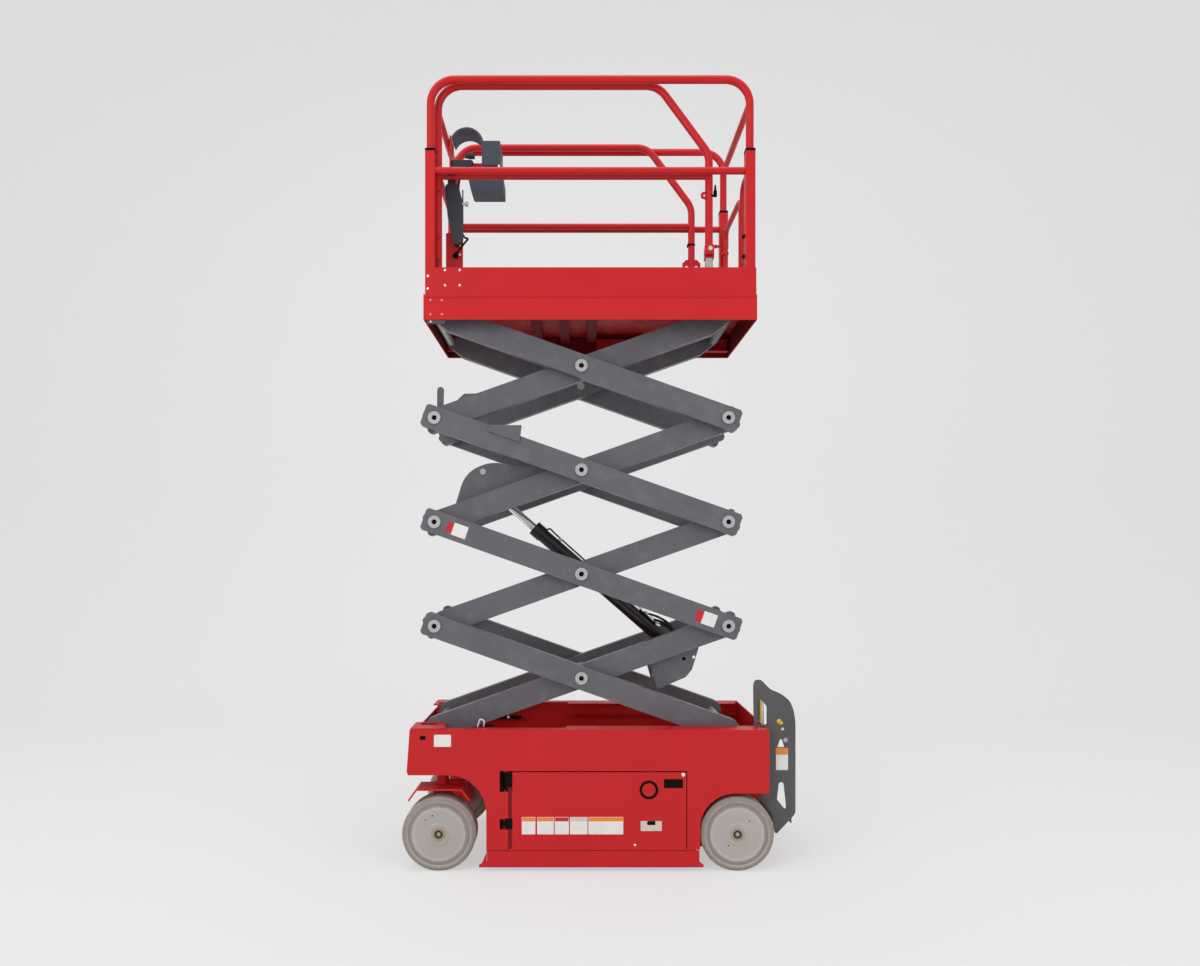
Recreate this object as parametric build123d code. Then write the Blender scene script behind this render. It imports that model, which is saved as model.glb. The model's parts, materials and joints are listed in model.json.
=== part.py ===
from build123d import *
import math
import os

# Slab scissor lift: a self-propelled work platform on a four-stage scissor stack, lifted by one ram and shown
# part raised. Millimetres. +X points to the ladder end, -X to the steering end, +Z up, ground at Z = 0.
# Pieces are laid out from the chassis centre; place() then puts the origin under the middle of the length.

# ---------------------------------------------------------------------------------------------- driving sizes
# Chassis; the front edge is where lengths are measured from
CHASSIS_FRONT_X = -857.0        # front edge at the rim
CHASSIS_HALF_W = 405.0
CHASSIS_TAIL = 88.0             # chassis behind the last pin of the folded arms
NOSE_OUT = 14.0                 # front edge low down stands this far forward
RIM_Z = 680.0                   # top of the chassis
RIM_W = 53.0                    # width of the flat rim along each side
SKIN = 6.0                      # plate of the sides, rims and floors
SILL_Z = 106.0                  # lower edge of the sides between the wheels
WELL_DEPTH = 140.0              # rim to the floor under the stack
NOSE_DROP = 78.0                # underside of the front beam below that floor
ARCH_FRONT_R = 182.0
ARCH_FRONT_GAP = 229.0          # front axle to the rear edge of its arch
ARCH_REAR_R = 167.0
ARCH_REAR_GAP = 180.0           # rear axle to the front edge of its arch
ARCH_REAR_ROOM = 19.0           # rear arch above the tyre
CORE_HALF_W = 140.0             # centre box between the trays

# Doors and trays
DOOR_IN_FRONT = 121.0           # arch to door, front and rear
DOOR_IN_REAR = 67.0
DOOR_LAP = 3.0                  # door below the sill
DOOR_TOP_DROP = 63.0            # door top below the well floor
DOOR_GAP = 5.0
DOOR_HINGE_GAP = 8.0            # wider beside the hinge, so that the edge swings clear
DOOR_T = 6.0
DOOR_HINGE_OUT = 24.0           # hinge line ahead of the door edge
DOOR_HINGE_IN = 14.0            # hinge line inside the outer face
DOOR_HINGE_R = 8.0
DOOR_PIN_R = 4.0
HINGE_EASE = 8.0                # knuckle ends stand this far inside the opening
HINGE_GAP = 0.3                 # end play of the hinges
HINGE_CUT_OUT = 33.0            # opening ahead of the hinge line
HINGE_LOW_UP = 98.0             # low hinge opening above the door's foot
HINGE_LOW_H = 51.0
HINGE_HIGH_DOWN = 95.0          # high hinge opening below the door's top
HINGE_HIGH_H = 101.0
BRACKET_LAP = 14.0              # hinge brackets on the skin beyond the opening
TRAY_IN_FRONT = 18.0
TRAY_IN_REAR = 46.0
TRAY_GAP = 12.0                 # tray to the centre box
TRAY_T = 5.0
TRAY_H = 150.0
PACK_EDGE = 30.0                # packs stand inside the tray by this much
BATTERY_H = 285.0
HYDRAULIC_H = 265.0
HYDRAULIC_SHORT = 50.0

# Pothole guards
GUARD_END_GAP = 3.0
GUARD_TIP_FRONT_OUT = 38.0
GUARD_TIP_REAR_OUT = 20.0
GUARD_Z0 = 20.0
GUARD_TOP_GAP = 8.0
GUARD_LIP_H = 12.0
GUARD_FLARE_H = 14.0
GUARD_T = 6.0
GUARD_INSET = 1.0
GUARD_HINGE_IN = 13.0
GUARD_HINGE_DROP = 14.0
GUARD_HINGE_R = 5.0
GUARD_PIN_R = 2.5
GUARD_HINGE_FRONT = 49.0        # front hinge behind the front arch
GUARD_HINGE_REAR = 34.0         # rear hinge ahead of the rear arch
GUARD_HINGE_HALF = 22.0
GUARD_EAR_T = 5.5
GUARD_EAR_LAP = 16.0

# Wheels, axles and steering
FRONT_AXLE_IN = 139.0           # front edge to front axle
REAR_AXLE_IN = 153.0            # rear edge to rear axle
WHEEL_R = 177.5
WHEEL_W = 114.0
RIM_R = 146.5
TYRE_SOFT = 12.0                # tyre shoulder
SPINDLE_R = 20.0
HUB_R = 50.0
RUN_CLEAR = 0.06                # radial clearance of running fits
REAR_BOX_GAP = 11.0             # rear wheel to the box between the wheels
REAR_BOX_DROP = 30.0
WEB_GAP = 6.0                   # front wheel to the knuckle web
WEB_T = 22.0
WEB_HALF = 45.0
KINGPIN_IN = 16.0               # kingpin inside the front wheel
KINGPIN_R = 15.0
YOKE_ROOM = 30.0                # plate above the steered wheel
YOKE_T = 8.0
YOKE_HALF = 110.0               # flat length either side of the wheel centre
YOKE_REACH = 150.0
YOKE_DROP = 54.0
YOKE_IN = 8.0                   # plate inside the outer face
MOTOR_R = 80.0
MOTOR_L = 95.0
BOSS_H = 35.0
BOSS_GAP = 1.0
STEER_ARM = 112.0
STEER_ARM_T = 12.0
STEER_ARM_HALF = 14.0
TIE_ROD_R = 9.0

# Ladder
LADDER_IN = 75.0
LADDER_T = 6.0
LADDER_REACH = 145.0            # ladder behind the chassis
STEP_OUT = 37.0
STEP_DEPTH = 90.0
STEP_H = 30.0
STEP_T = 4.0
STEP_ZS = (236.0, 456.0)

# Scissor stack
STAGES = 4
ARM_L = 1540.0                  # pin to pin
ARM_DEPTH = 114.0
ARM_W = 50.0
ARM_WALL = 5.0
ARM_END = 58.0                  # square end beyond the pin
ARM_CHAMFER = 12.0
NECK_R = 26.0                   # arm ends under the platform
NECK_LEN = 90.0
STACK_ANGLE = 19.5
PIVOT_IN = 100.0                # front edge to the fixed pins
BASE_PIN_H = 115.0              # fixed pins above the well floor
ARM_GAP = 6.0                   # running gap between inner and outer arms
STACK_PLAY = 4.0                # collars to the slide channels
PIN_R = 20.0
COLLAR_R = 31.0
COLLAR_T = 9.0
CROSS_R = 30.0
BLOCK_PIN_R = 12.0
LUG_H = 24.0                    # base lugs above the pins
SOCKET_R = 12.5                 # hollow ends of the pins
SOCKET_DEPTH = 22.0
CORNER_PLATE_L = 165.0          # plates over the fixed pins
CORNER_PLATE_GAP = 1.0          # outer arm plane to those plates
CORNER_SLOT_IN = 20.0           # their oval holes, in from the front edge
CORNER_SLOT_L = 98.0
CORNER_SLOT_R = 30.0
TAB_R = 17.0                    # rounded end of the locking tab on the last inner frame
BUMP_T = 8.0                    # plates on top of the inner and outer arms
BUMP_GAP = 2.0

# Slide blocks and their channels
CHANNEL_DEPTH = 44.0
CHANNEL_WALL = 5.0
BLOCK_GAP = 0.3
BLOCK_LEN = 54.0
BLOCK_ABOVE = 19.4              # block above the lower shaft line
BLOCK_BELOW = 35.0
TOP_BLOCK_HALF = 28.0
CHANNEL_START = 817.0           # top fixed pins to the upper channels
LOW_CHANNEL_START = 653.0       # base pins to the lower channels
CHANNEL_TAIL = 26.0             # channel end inside the chassis
DECK_CHANNEL_TAIL = 12.0

# Lift ram
RAM_BASE_IN = 236.0             # lower eye, back from the far pin of the first inner arm
RAM_BASE_V = -116.4             # and above that arm's line
RAM_EYE_U = 271.0               # rod eye, along and above the third inner arm
RAM_EYE_V = 130.5
BARREL_R = 36.0
BARREL_LEN = 1045.0
BARREL_BORE_R = 29.0
GLAND_LEN = 60.0
GLAND_LIP = 4.0
ROD_R = 20.0
ROD_INSIDE = 655.0              # rod inside the barrel at rest
PISTON_L = 40.0
PISTON_GAP = 0.3
EYE_R = 38.0
EYE_HALF_W = 29.0
RAM_PIN_R = 18.0
LUG_T = 10.0
HUMP_PAD = 6.0

# Platform
DECK_FRONT_OUT = 38.0           # skirts beyond the pins, front and rear
DECK_REAR_OUT = 34.0
DECK_IN = 23.0                  # narrower than the chassis on each side
PIN_TO_FLOOR = 62.75            # top pins to the underside of the floor
SKIRT_H = 118.0
FLOOR_T = 6.0
TOE_FRONT_IN = 12.0
TOE_REAR_IN = 7.0
TOE_LAP = 9.0
TOE_H = 128.0
TOE_T = 3.0
BEARERS = (487.0, 637.0, 787.0) # from the front pins
BEARER_W = 50.0
BEARER_DEPTH = 36.0
DECK_WEB_T = 8.0

# Guard rails; heights are above the floor
RAIL_R = 19.0
CROSS_RAIL_R = 16.0
MID_RAIL_R = 17.0
RAIL_IN = 24.0                  # rails inside the skirts
RAIL_H = 1049.0
MID_RAIL_H = 606.0
LEG_IN = 31.0                   # legs inside the deck ends
CORNER_R = 118.0
POST_W = 46.0
POST_WALL = 3.5
POST_H = 704.0
LEG_PLUG = 150.0

# Extension deck
EXT_FRONT_IN = 23.0
EXT_REAR_IN = 177.0
EXT_SIDE_GAP = 6.0              # to the main posts
EXT_GAP = 0.3
EXT_SHEET = 3.0
EXT_TOE_DROP = 20.0
EXT_RAIL_IN = 23.0
EXT_POST_IN = 36.0
EXT_TAIL_IN = 44.0
EXT_SLOPE_LEN = 250.0
EXT_SLOPE_DROP = 338.0
EXT_MID_H = 603.0
EXT_FRONT_DROP = 138.0          # upper cross rail below the hoop
FLANGE_HALF_L = 51.0            # holed plate at the foot of the far rear leg
FLANGE_H = 410.0
FLANGE_HOLE_R = 9.0
FLANGE_HOLE_OUT = 27.0          # holes from the leg
FLANGE_HOLE_DROP = 42.0         # and below its top
LATCH_HALF = 22.0               # block round the near rear leg
LATCH_Z0 = 190.0
LATCH_H = 52.0

# Gate
GATE_OUT = 6.0
GATE_HINGE_IN = 40.0
GATE_W = 438.0
GATE_GAP = 34.0
GATE_R = 14.0
GATE_CORNER_R = 60.0
GATE_H = 575.0
GATE_LOW_H = 170.0
GATE_FOOT = 40.0
GATE_STRAPS = (210.0, 450.0)
STRAP_HALF = 6.0
STOP_RISE = 45.0

# Platform controls, carried by the extension's front rails
BOX_OUT = 188.0                 # front rails to the box
BOX_L = 96.0
BOX_H = 127.0
BOX_DROP = 153.0                # box top below the hoop
BOX_HALF_W = 75.0
BOX_FILLET = 8.0
HOUSING_OUT = 116.0
HOUSING_L = 184.0
HOUSING_H = 66.0
HOUSING_GAP = 65.0
BOW_RISE = 72.0
BOW_T = 8.0
MOUNT_T = 8.0
HOLDER_OUT = 30.0
HOLDER_L = 84.0
HOLDER_T = 44.0
HOLDER_DROP = 31.0
HOLDER_H = 294.0
HOOK_T = 5.0

# ------------------------------------------------------------------------------------------- derived places
ANGLE = math.radians(STACK_ANGLE)
STAGE_H = ARM_L * math.sin(ANGLE)
PIVOT_X = CHASSIS_FRONT_X + PIVOT_IN
SLIDE_X = PIVOT_X + ARM_L * math.cos(ANGLE)
CHASSIS_REAR_X = PIVOT_X + ARM_L + CHASSIS_TAIL
CHASSIS_NOSE_X = CHASSIS_FRONT_X - NOSE_OUT
WELL_FLOOR_Z = RIM_Z - WELL_DEPTH
NOSE_Z = WELL_FLOOR_Z - NOSE_DROP
BASE_PIN_Z = WELL_FLOOR_Z + BASE_PIN_H
TOP_PIN_Z = BASE_PIN_Z + STAGES * STAGE_H
FRONT_AXLE_X = CHASSIS_FRONT_X + FRONT_AXLE_IN
REAR_AXLE_X = CHASSIS_REAR_X - REAR_AXLE_IN
ARCH_FRONT_X = FRONT_AXLE_X + ARCH_FRONT_GAP
ARCH_REAR_X = REAR_AXLE_X - ARCH_REAR_GAP
ARCH_REAR_Z = 2 * WHEEL_R + ARCH_REAR_ROOM
DOOR_X0 = ARCH_FRONT_X + DOOR_IN_FRONT
DOOR_X1 = ARCH_REAR_X - DOOR_IN_REAR
DOOR_Z0 = SILL_Z - DOOR_LAP
DOOR_Z1 = WELL_FLOOR_Z - DOOR_TOP_DROP
DOOR_HINGE_X = DOOR_X0 - DOOR_HINGE_OUT
DOOR_HINGE_Y = CHASSIS_HALF_W - DOOR_HINGE_IN
HINGE_CUT_X0 = DOOR_HINGE_X - HINGE_CUT_OUT
HINGE_CUTS_Z = ((DOOR_Z0 + HINGE_LOW_UP, DOOR_Z0 + HINGE_LOW_UP + HINGE_LOW_H),
                (DOOR_Z1 - HINGE_HIGH_DOWN, DOOR_Z1 - HINGE_HIGH_DOWN + HINGE_HIGH_H))
TRAY_X0 = DOOR_X0 + TRAY_IN_FRONT
TRAY_X1 = DOOR_X1 - TRAY_IN_REAR
TRAY_IN_Y = CORE_HALF_W + TRAY_GAP
GUARD_X0 = ARCH_FRONT_X + GUARD_END_GAP
GUARD_X1 = ARCH_REAR_X - GUARD_END_GAP
GUARD_Z1 = SILL_Z - GUARD_TOP_GAP
GUARD_HINGE_Y = CHASSIS_HALF_W - GUARD_HINGE_IN
GUARD_HINGE_Z = SILL_Z - GUARD_HINGE_DROP
GUARD_HINGE_XS = (ARCH_FRONT_X + GUARD_HINGE_FRONT, ARCH_REAR_X - GUARD_HINGE_REAR)
REAR_BOX_HALF_W = CHASSIS_HALF_W - WHEEL_W - REAR_BOX_GAP
KINGPIN_X = FRONT_AXLE_X
KINGPIN_Y = CHASSIS_HALF_W - WHEEL_W - KINGPIN_IN
YOKE_Z = 2 * WHEEL_R + YOKE_ROOM
TIE_ROD_X = KINGPIN_X + STEER_ARM
LADDER_Y = CHASSIS_HALF_W - LADDER_IN
LADDER_REACH_X = CHASSIS_REAR_X + LADDER_REACH
STEP_X0 = CHASSIS_REAR_X + STEP_OUT
STEP_X1 = STEP_X0 + STEP_DEPTH
CENTRE_X = (FRONT_AXLE_X - WHEEL_R + LADDER_REACH_X) / 2
CHANNEL_Y1 = CHASSIS_HALF_W - RIM_W
CHANNEL_Y0 = CHANNEL_Y1 - CHANNEL_DEPTH
CHANNEL_X0 = PIVOT_X + CHANNEL_START
LOW_CHANNEL_X0 = PIVOT_X + LOW_CHANNEL_START
CHANNEL_X1 = CHASSIS_REAR_X - CHANNEL_TAIL
COLLAR_OUT_Y = CHANNEL_Y0 - STACK_PLAY
OUTER_Y = COLLAR_OUT_Y - COLLAR_T - ARM_W
INNER_Y = OUTER_Y - ARM_GAP - ARM_W
ARM_HALF = ARM_DEPTH / 2
RAM_BASE_U = ARM_L - RAM_BASE_IN
HUMP_Y = INNER_Y - HUMP_PAD - LUG_T
DECK_X0 = PIVOT_X - DECK_FRONT_OUT
DECK_X1 = PIVOT_X + ARM_L + DECK_REAR_OUT
DECK_HALF_W = CHASSIS_HALF_W - DECK_IN
FLOOR_Z0 = TOP_PIN_Z + PIN_TO_FLOOR
FLOOR_TOP = FLOOR_Z0 + FLOOR_T
SKIRT_Z0 = FLOOR_Z0 - SKIRT_H
TOE_X0 = DECK_X0 + TOE_FRONT_IN
TOE_X1 = DECK_X1 - TOE_REAR_IN
TOE_Z0 = FLOOR_Z0 - TOE_LAP
TOE_Z1 = FLOOR_TOP + TOE_H
RAIL_Y = DECK_HALF_W - RAIL_IN
RAIL_TOP_Z = FLOOR_TOP + RAIL_H
MID_RAIL_Z = FLOOR_TOP + MID_RAIL_H
LEG_FRONT_X = DECK_X0 + LEG_IN
LEG_REAR_X = DECK_X1 - LEG_IN
POST_TOP_Z = FLOOR_TOP + POST_H
EXT_X0 = DECK_X0 + EXT_FRONT_IN
EXT_X1 = DECK_X1 - EXT_REAR_IN
EXT_HALF_W = RAIL_Y - POST_W / 2 - EXT_SIDE_GAP
EXT_Z0 = FLOOR_TOP + EXT_GAP
EXT_TOP = EXT_Z0 + EXT_SHEET
EXT_RAIL_Y = EXT_HALF_W - EXT_RAIL_IN
EXT_POST_X = EXT_X0 + EXT_POST_IN
EXT_SLOPE_X1 = EXT_X1 - EXT_TAIL_IN
EXT_SLOPE_X0 = EXT_SLOPE_X1 - EXT_SLOPE_LEN
EXT_SLOPE_Z = RAIL_TOP_Z - EXT_SLOPE_DROP
EXT_MID_Z = FLOOR_TOP + EXT_MID_H
EXT_FRONT_Z = RAIL_TOP_Z - EXT_FRONT_DROP
GATE_X = LEG_REAR_X + GATE_OUT
GATE_HINGE_Y = RAIL_Y - GATE_HINGE_IN
GATE_FREE_Y = GATE_HINGE_Y - GATE_W
GATE_STOP_Y = GATE_FREE_Y - GATE_GAP
GATE_TOP_Z = FLOOR_TOP + GATE_H
GATE_LOW_Z = FLOOR_TOP + GATE_LOW_H
BOX_X0 = EXT_POST_X + BOX_OUT
BOX_X1 = BOX_X0 + BOX_L
BOX_Z1 = RAIL_TOP_Z - BOX_DROP
BOX_Z0 = BOX_Z1 - BOX_H
HOUSING_X0 = EXT_POST_X + HOUSING_OUT
HOUSING_X1 = HOUSING_X0 + HOUSING_L
HOUSING_Z1 = BOX_Z0 - HOUSING_GAP
HOUSING_Z0 = HOUSING_Z1 - HOUSING_H
MOUNT_X = EXT_POST_X + CROSS_RAIL_R
NAMES = []


# --------------------------------------------------------------------------------------------------- helpers
def slab(x0, x1, y0, y1, z0, z1):
    """A box between two corners."""
    return Pos((x0 + x1) / 2, (y0 + y1) / 2, (z0 + z1) / 2) * Box(x1 - x0, y1 - y0, z1 - z0)


def side_plate(face, y0, y1):
    """A face drawn in X and Z, thickened from y0 to y1."""
    return extrude(Plane.XZ.offset(-y1) * face, amount=y1 - y0)


def outline(*points):
    """A closed face through straight-edged points."""
    return make_face(Polyline(*points, close=True))


def rod_y(radius, x, z, y0, y1):
    """A round bar along Y."""
    return Pos(x, (y0 + y1) / 2, z) * Rot(90, 0, 0) * Cylinder(radius, y1 - y0)


def rod_x(radius, x0, x1, y, z):
    """A round bar along X."""
    return Pos((x0 + x1) / 2, y, z) * Rot(0, 90, 0) * Cylinder(radius, x1 - x0)


def rod_z(radius, x, y, z0, z1):
    """A round bar along Z."""
    return Pos(x, y, (z0 + z1) / 2) * Cylinder(radius, z1 - z0)


def tube_along(points, bend, radius):
    """A round tube along straight runs joined by bends."""
    path = FilletPolyline(*points, radius=bend) if len(points) > 2 else Line(*points)
    return sweep(Plane(origin=path @ 0, z_dir=path % 0) * Circle(radius), path=path)


def mirrored(shape):
    """The same piece on the far side."""
    return mirror(shape, about=Plane.XZ)


def fused(*shapes):
    """One solid from touching pieces."""
    result = shapes[0]
    for shape in shapes[1:]:
        result = result + shape
    return result


def group(*shapes):
    """Separate solids in one node."""
    solids = []
    for shape in shapes:
        solids.extend(shape.solids())
    return Compound(solids)


def place(name, shape):
    """Write one node, moved so that the origin lies under the middle of the whole length."""
    NAMES.append(name)
    export_step(Pos(-CENTRE_X, 0, 0) * shape, f"parts/{name}.step")


# --------------------------------------------------------------------------------------------------- chassis
def chassis_side():
    """Near side weldment: outer skin with its openings, flat rim and the wall of the well."""
    y_out = CHASSIS_HALF_W
    nose = (CHASSIS_NOSE_X, NOSE_Z + 3 * SKIN)
    arch_x = ARCH_FRONT_X - ARCH_FRONT_R
    arch_z = NOSE_Z - ARCH_FRONT_R
    rear_x = ARCH_REAR_X + ARCH_REAR_R
    rear_z = ARCH_REAR_Z - ARCH_REAR_R
    front_arch = ThreePointArc(
        (arch_x, NOSE_Z),
        (arch_x + ARCH_FRONT_R * math.sin(math.pi / 4), arch_z + ARCH_FRONT_R * math.cos(math.pi / 4)),
        (ARCH_FRONT_X, arch_z))
    rear_arch = ThreePointArc(
        (ARCH_REAR_X, rear_z),
        (rear_x - ARCH_REAR_R * math.sin(math.pi / 4), rear_z + ARCH_REAR_R * math.cos(math.pi / 4)),
        (rear_x, ARCH_REAR_Z))
    edge = Curve() + [
        Polyline((CHASSIS_FRONT_X, RIM_Z), nose, (CHASSIS_NOSE_X + SKIN, NOSE_Z), (arch_x, NOSE_Z)),
        front_arch,
        Polyline((ARCH_FRONT_X, arch_z), (ARCH_FRONT_X, SILL_Z), (ARCH_REAR_X, SILL_Z), (ARCH_REAR_X, rear_z)),
        rear_arch,
        Polyline((rear_x, ARCH_REAR_Z), (CHASSIS_REAR_X, ARCH_REAR_Z), (CHASSIS_REAR_X, RIM_Z),
                 (CHASSIS_FRONT_X, RIM_Z)),
    ]
    skin = side_plate(make_face(edge), -y_out, -y_out + SKIN)
    skin -= slab(DOOR_X0 - DOOR_HINGE_GAP, DOOR_X1 + DOOR_GAP, -y_out - 1, -y_out + SKIN + 1,
                 SILL_Z - 10, DOOR_Z1 + DOOR_GAP)
    for low, high in HINGE_CUTS_Z:
        skin -= slab(HINGE_CUT_X0, DOOR_X0, -y_out - 1, -y_out + SKIN + 1, low, high)
    rim = slab(CHASSIS_FRONT_X + 2, CHASSIS_REAR_X, -y_out + SKIN, -CHANNEL_Y1, RIM_Z - SKIN, RIM_Z)
    wall = slab(CHASSIS_FRONT_X + 10, CHASSIS_REAR_X, -CHANNEL_Y1 - SKIN, -CHANNEL_Y1, WELL_FLOOR_Z,
                RIM_Z - SKIN)
    return fused(skin, rim, wall, corner_plate(), *door_brackets(), *guard_ears())


def corner_plate():
    """Raised plate with an oval hole, from the rim over the fixed pin."""
    x0 = CHASSIS_FRONT_X + 2
    x1 = x0 + CORNER_PLATE_L
    y0, y1 = -CHASSIS_HALF_W + SKIN, -OUTER_Y - CORNER_PLATE_GAP
    slot_x = x0 + CORNER_SLOT_IN + CORNER_SLOT_L / 2
    slot_y = y1 - CORNER_SLOT_R - CORNER_SLOT_IN / 2
    face = outline((x0, y0), (x1, y0), (x1, y0 + RIM_W), (x1 - CORNER_SLOT_R, y1), (x0, y1))
    face -= Pos(slot_x, slot_y) * SlotOverall(CORNER_SLOT_L, 2 * CORNER_SLOT_R)
    return Pos(0, 0, RIM_Z) * extrude(face, amount=SKIN)


def door_brackets():
    """Brackets above and below each door knuckle, with the hinge pin between them."""
    x, y, half = DOOR_HINGE_X, -DOOR_HINGE_Y, DOOR_HINGE_R + DOOR_PIN_R
    inside = -CHASSIS_HALF_W + SKIN
    reach = HINGE_EASE - HINGE_GAP
    brackets = []
    for low, high in HINGE_CUTS_Z:
        for z0, z1 in ((low - BRACKET_LAP, low + reach), (high - reach, high + BRACKET_LAP)):
            brackets.append(slab(x - half, x + half, inside, y + DOOR_HINGE_R, z0, z1))
        brackets.append(rod_z(DOOR_PIN_R, x, y, low, high))
    return brackets


def guard_ears():
    """Pairs of ears under the side, with the pins that the pothole guard swings on."""
    y, z, r = -GUARD_HINGE_Y, GUARD_HINGE_Z, GUARD_HINGE_R
    ears = []
    for x in GUARD_HINGE_XS:
        out = GUARD_HINGE_HALF + HINGE_GAP
        for x0, x1 in ((x - out - GUARD_EAR_T, x - out), (x + out, x + out + GUARD_EAR_T)):
            top = SILL_Z + GUARD_EAR_LAP
            ears.append(rod_x(r, x0, x1, y, z) + slab(x0, x1, y - r, y + r, z, top)
                        + slab(x0, x1, -CHASSIS_HALF_W + SKIN, y, SILL_Z, top))
        ears.append(rod_x(GUARD_PIN_R, x - out, x + out, y, z))
    return ears


def scissor_well():
    """Floor under the stack with the slanted front wall and the rear wall."""
    floor = slab(CHASSIS_FRONT_X + 10, CHASSIS_REAR_X - SKIN, -CHASSIS_HALF_W + SKIN, CHASSIS_HALF_W - SKIN,
                 WELL_FLOOR_Z - SKIN, WELL_FLOOR_Z)
    top, low = RIM_Z - 5 * SKIN, NOSE_Z + 3 * SKIN
    front = side_plate(outline((CHASSIS_FRONT_X, top), (CHASSIS_FRONT_X + SKIN, top),
                               (CHASSIS_NOSE_X + 2 * SKIN, low), (CHASSIS_NOSE_X + SKIN, low)),
                       -CHANNEL_Y1, CHANNEL_Y1)
    rear = slab(CHASSIS_REAR_X - SKIN, CHASSIS_REAR_X, -CHANNEL_Y1, CHANNEL_Y1, WELL_FLOOR_Z - SKIN, RIM_Z)
    lip = slab(CHASSIS_NOSE_X + 1.5 * SKIN, CHASSIS_FRONT_X + 2 * SKIN, -CHANNEL_Y1, CHANNEL_Y1,
               WELL_FLOOR_Z - SKIN, WELL_FLOOR_Z)
    return fused(floor, rear, front + lip)


def front_beam():
    """Cross beam over the steered wheels, with a boss and bore for each kingpin."""
    beam = slab(CHASSIS_FRONT_X + 2 * SKIN, KINGPIN_X + STEER_ARM + SKIN, -CHASSIS_HALF_W + SKIN,
                CHASSIS_HALF_W - SKIN, NOSE_Z, WELL_FLOOR_Z - SKIN)
    for side in (-1, 1):
        beam += rod_z(2 * KINGPIN_R, KINGPIN_X, side * KINGPIN_Y, YOKE_Z + YOKE_T + BOSS_H + BOSS_GAP, NOSE_Z)
    for side in (-1, 1):
        beam -= rod_z(KINGPIN_R + RUN_CLEAR, KINGPIN_X, side * KINGPIN_Y, YOKE_Z, WELL_FLOOR_Z - 2 * SKIN)
    return beam


def chassis_core():
    """Bulkhead behind the steered wheels and the centre box between the two trays."""
    bulkhead = slab(ARCH_FRONT_X, ARCH_FRONT_X + SKIN, -CHASSIS_HALF_W + SKIN, CHASSIS_HALF_W - SKIN,
                    SILL_Z, WELL_FLOOR_Z - SKIN)
    core = slab(ARCH_FRONT_X + SKIN, ARCH_REAR_X - SKIN, -CORE_HALF_W, CORE_HALF_W, SILL_Z, WELL_FLOOR_Z - SKIN)
    return fused(bulkhead, core)


def rear_box():
    """Box over and between the driven-end wheels, with the two stub axles."""
    rear_x = CHASSIS_REAR_X
    wall = slab(ARCH_REAR_X - SKIN, ARCH_REAR_X, -CHASSIS_HALF_W + SKIN, CHASSIS_HALF_W - SKIN,
                SILL_Z, WELL_FLOOR_Z - SKIN)
    upper = slab(ARCH_REAR_X, rear_x, -CHASSIS_HALF_W + SKIN, CHASSIS_HALF_W - SKIN,
                 ARCH_REAR_Z + SKIN, WELL_FLOOR_Z - SKIN)
    lower = slab(ARCH_REAR_X, rear_x - SPINDLE_R, -REAR_BOX_HALF_W, REAR_BOX_HALF_W, SILL_Z - REAR_BOX_DROP,
                 ARCH_REAR_Z + SKIN)
    box = fused(wall, upper, lower)
    for side in (-1, 1):
        inner = side * (REAR_BOX_HALF_W - 1)
        y0, y1 = sorted((inner, side * (CHASSIS_HALF_W - 2 * SKIN)))
        box += rod_y(SPINDLE_R, REAR_AXLE_X, WHEEL_R, y0, y1)
        y0, y1 = sorted((inner, side * (CHASSIS_HALF_W - WHEEL_W - SKIN + 1)))
        box += rod_y(2 * SPINDLE_R, REAR_AXLE_X, WHEEL_R, y0, y1)
    return box


def base_mounts():
    """Front pivot lugs with their through shaft, and the two channels that the lower blocks slide in."""
    pieces = []
    lug_y = COLLAR_OUT_Y + STACK_PLAY / 2
    lug_out = lug_y + DECK_WEB_T
    pivot = rod_y(PIN_R, PIVOT_X, BASE_PIN_Z, -lug_out - 2, lug_out + 2)
    for side in (-1, 1):
        y0, y1 = sorted((side * lug_y, side * lug_out))
        lug = side_plate(outline((PIVOT_X - 3 * PIN_R, WELL_FLOOR_Z), (PIVOT_X - COLLAR_R, BASE_PIN_Z + LUG_H),
                                 (PIVOT_X + COLLAR_R, BASE_PIN_Z + LUG_H), (PIVOT_X + 3 * PIN_R, WELL_FLOOR_Z)),
                         y0, y1)
        pivot += lug
    pieces.append(pivot)
    low = BASE_PIN_Z - BLOCK_BELOW - BLOCK_GAP
    high = BASE_PIN_Z + BLOCK_ABOVE + BLOCK_GAP
    for side in (-1, 1):
        y0, y1 = sorted((side * CHANNEL_Y0, side * CHANNEL_Y1))
        channel = slab(LOW_CHANNEL_X0, CHANNEL_X1, y0, y1, low - CHANNEL_WALL, high + CHANNEL_WALL)
        in0, in1 = sorted((side * (CHANNEL_Y0 - 1), side * (CHANNEL_Y1 - CHANNEL_WALL)))
        pieces.append(channel - slab(LOW_CHANNEL_X0 - 1, CHANNEL_X1 + 1, in0, in1, low, high))
    return group(*pieces)


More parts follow.
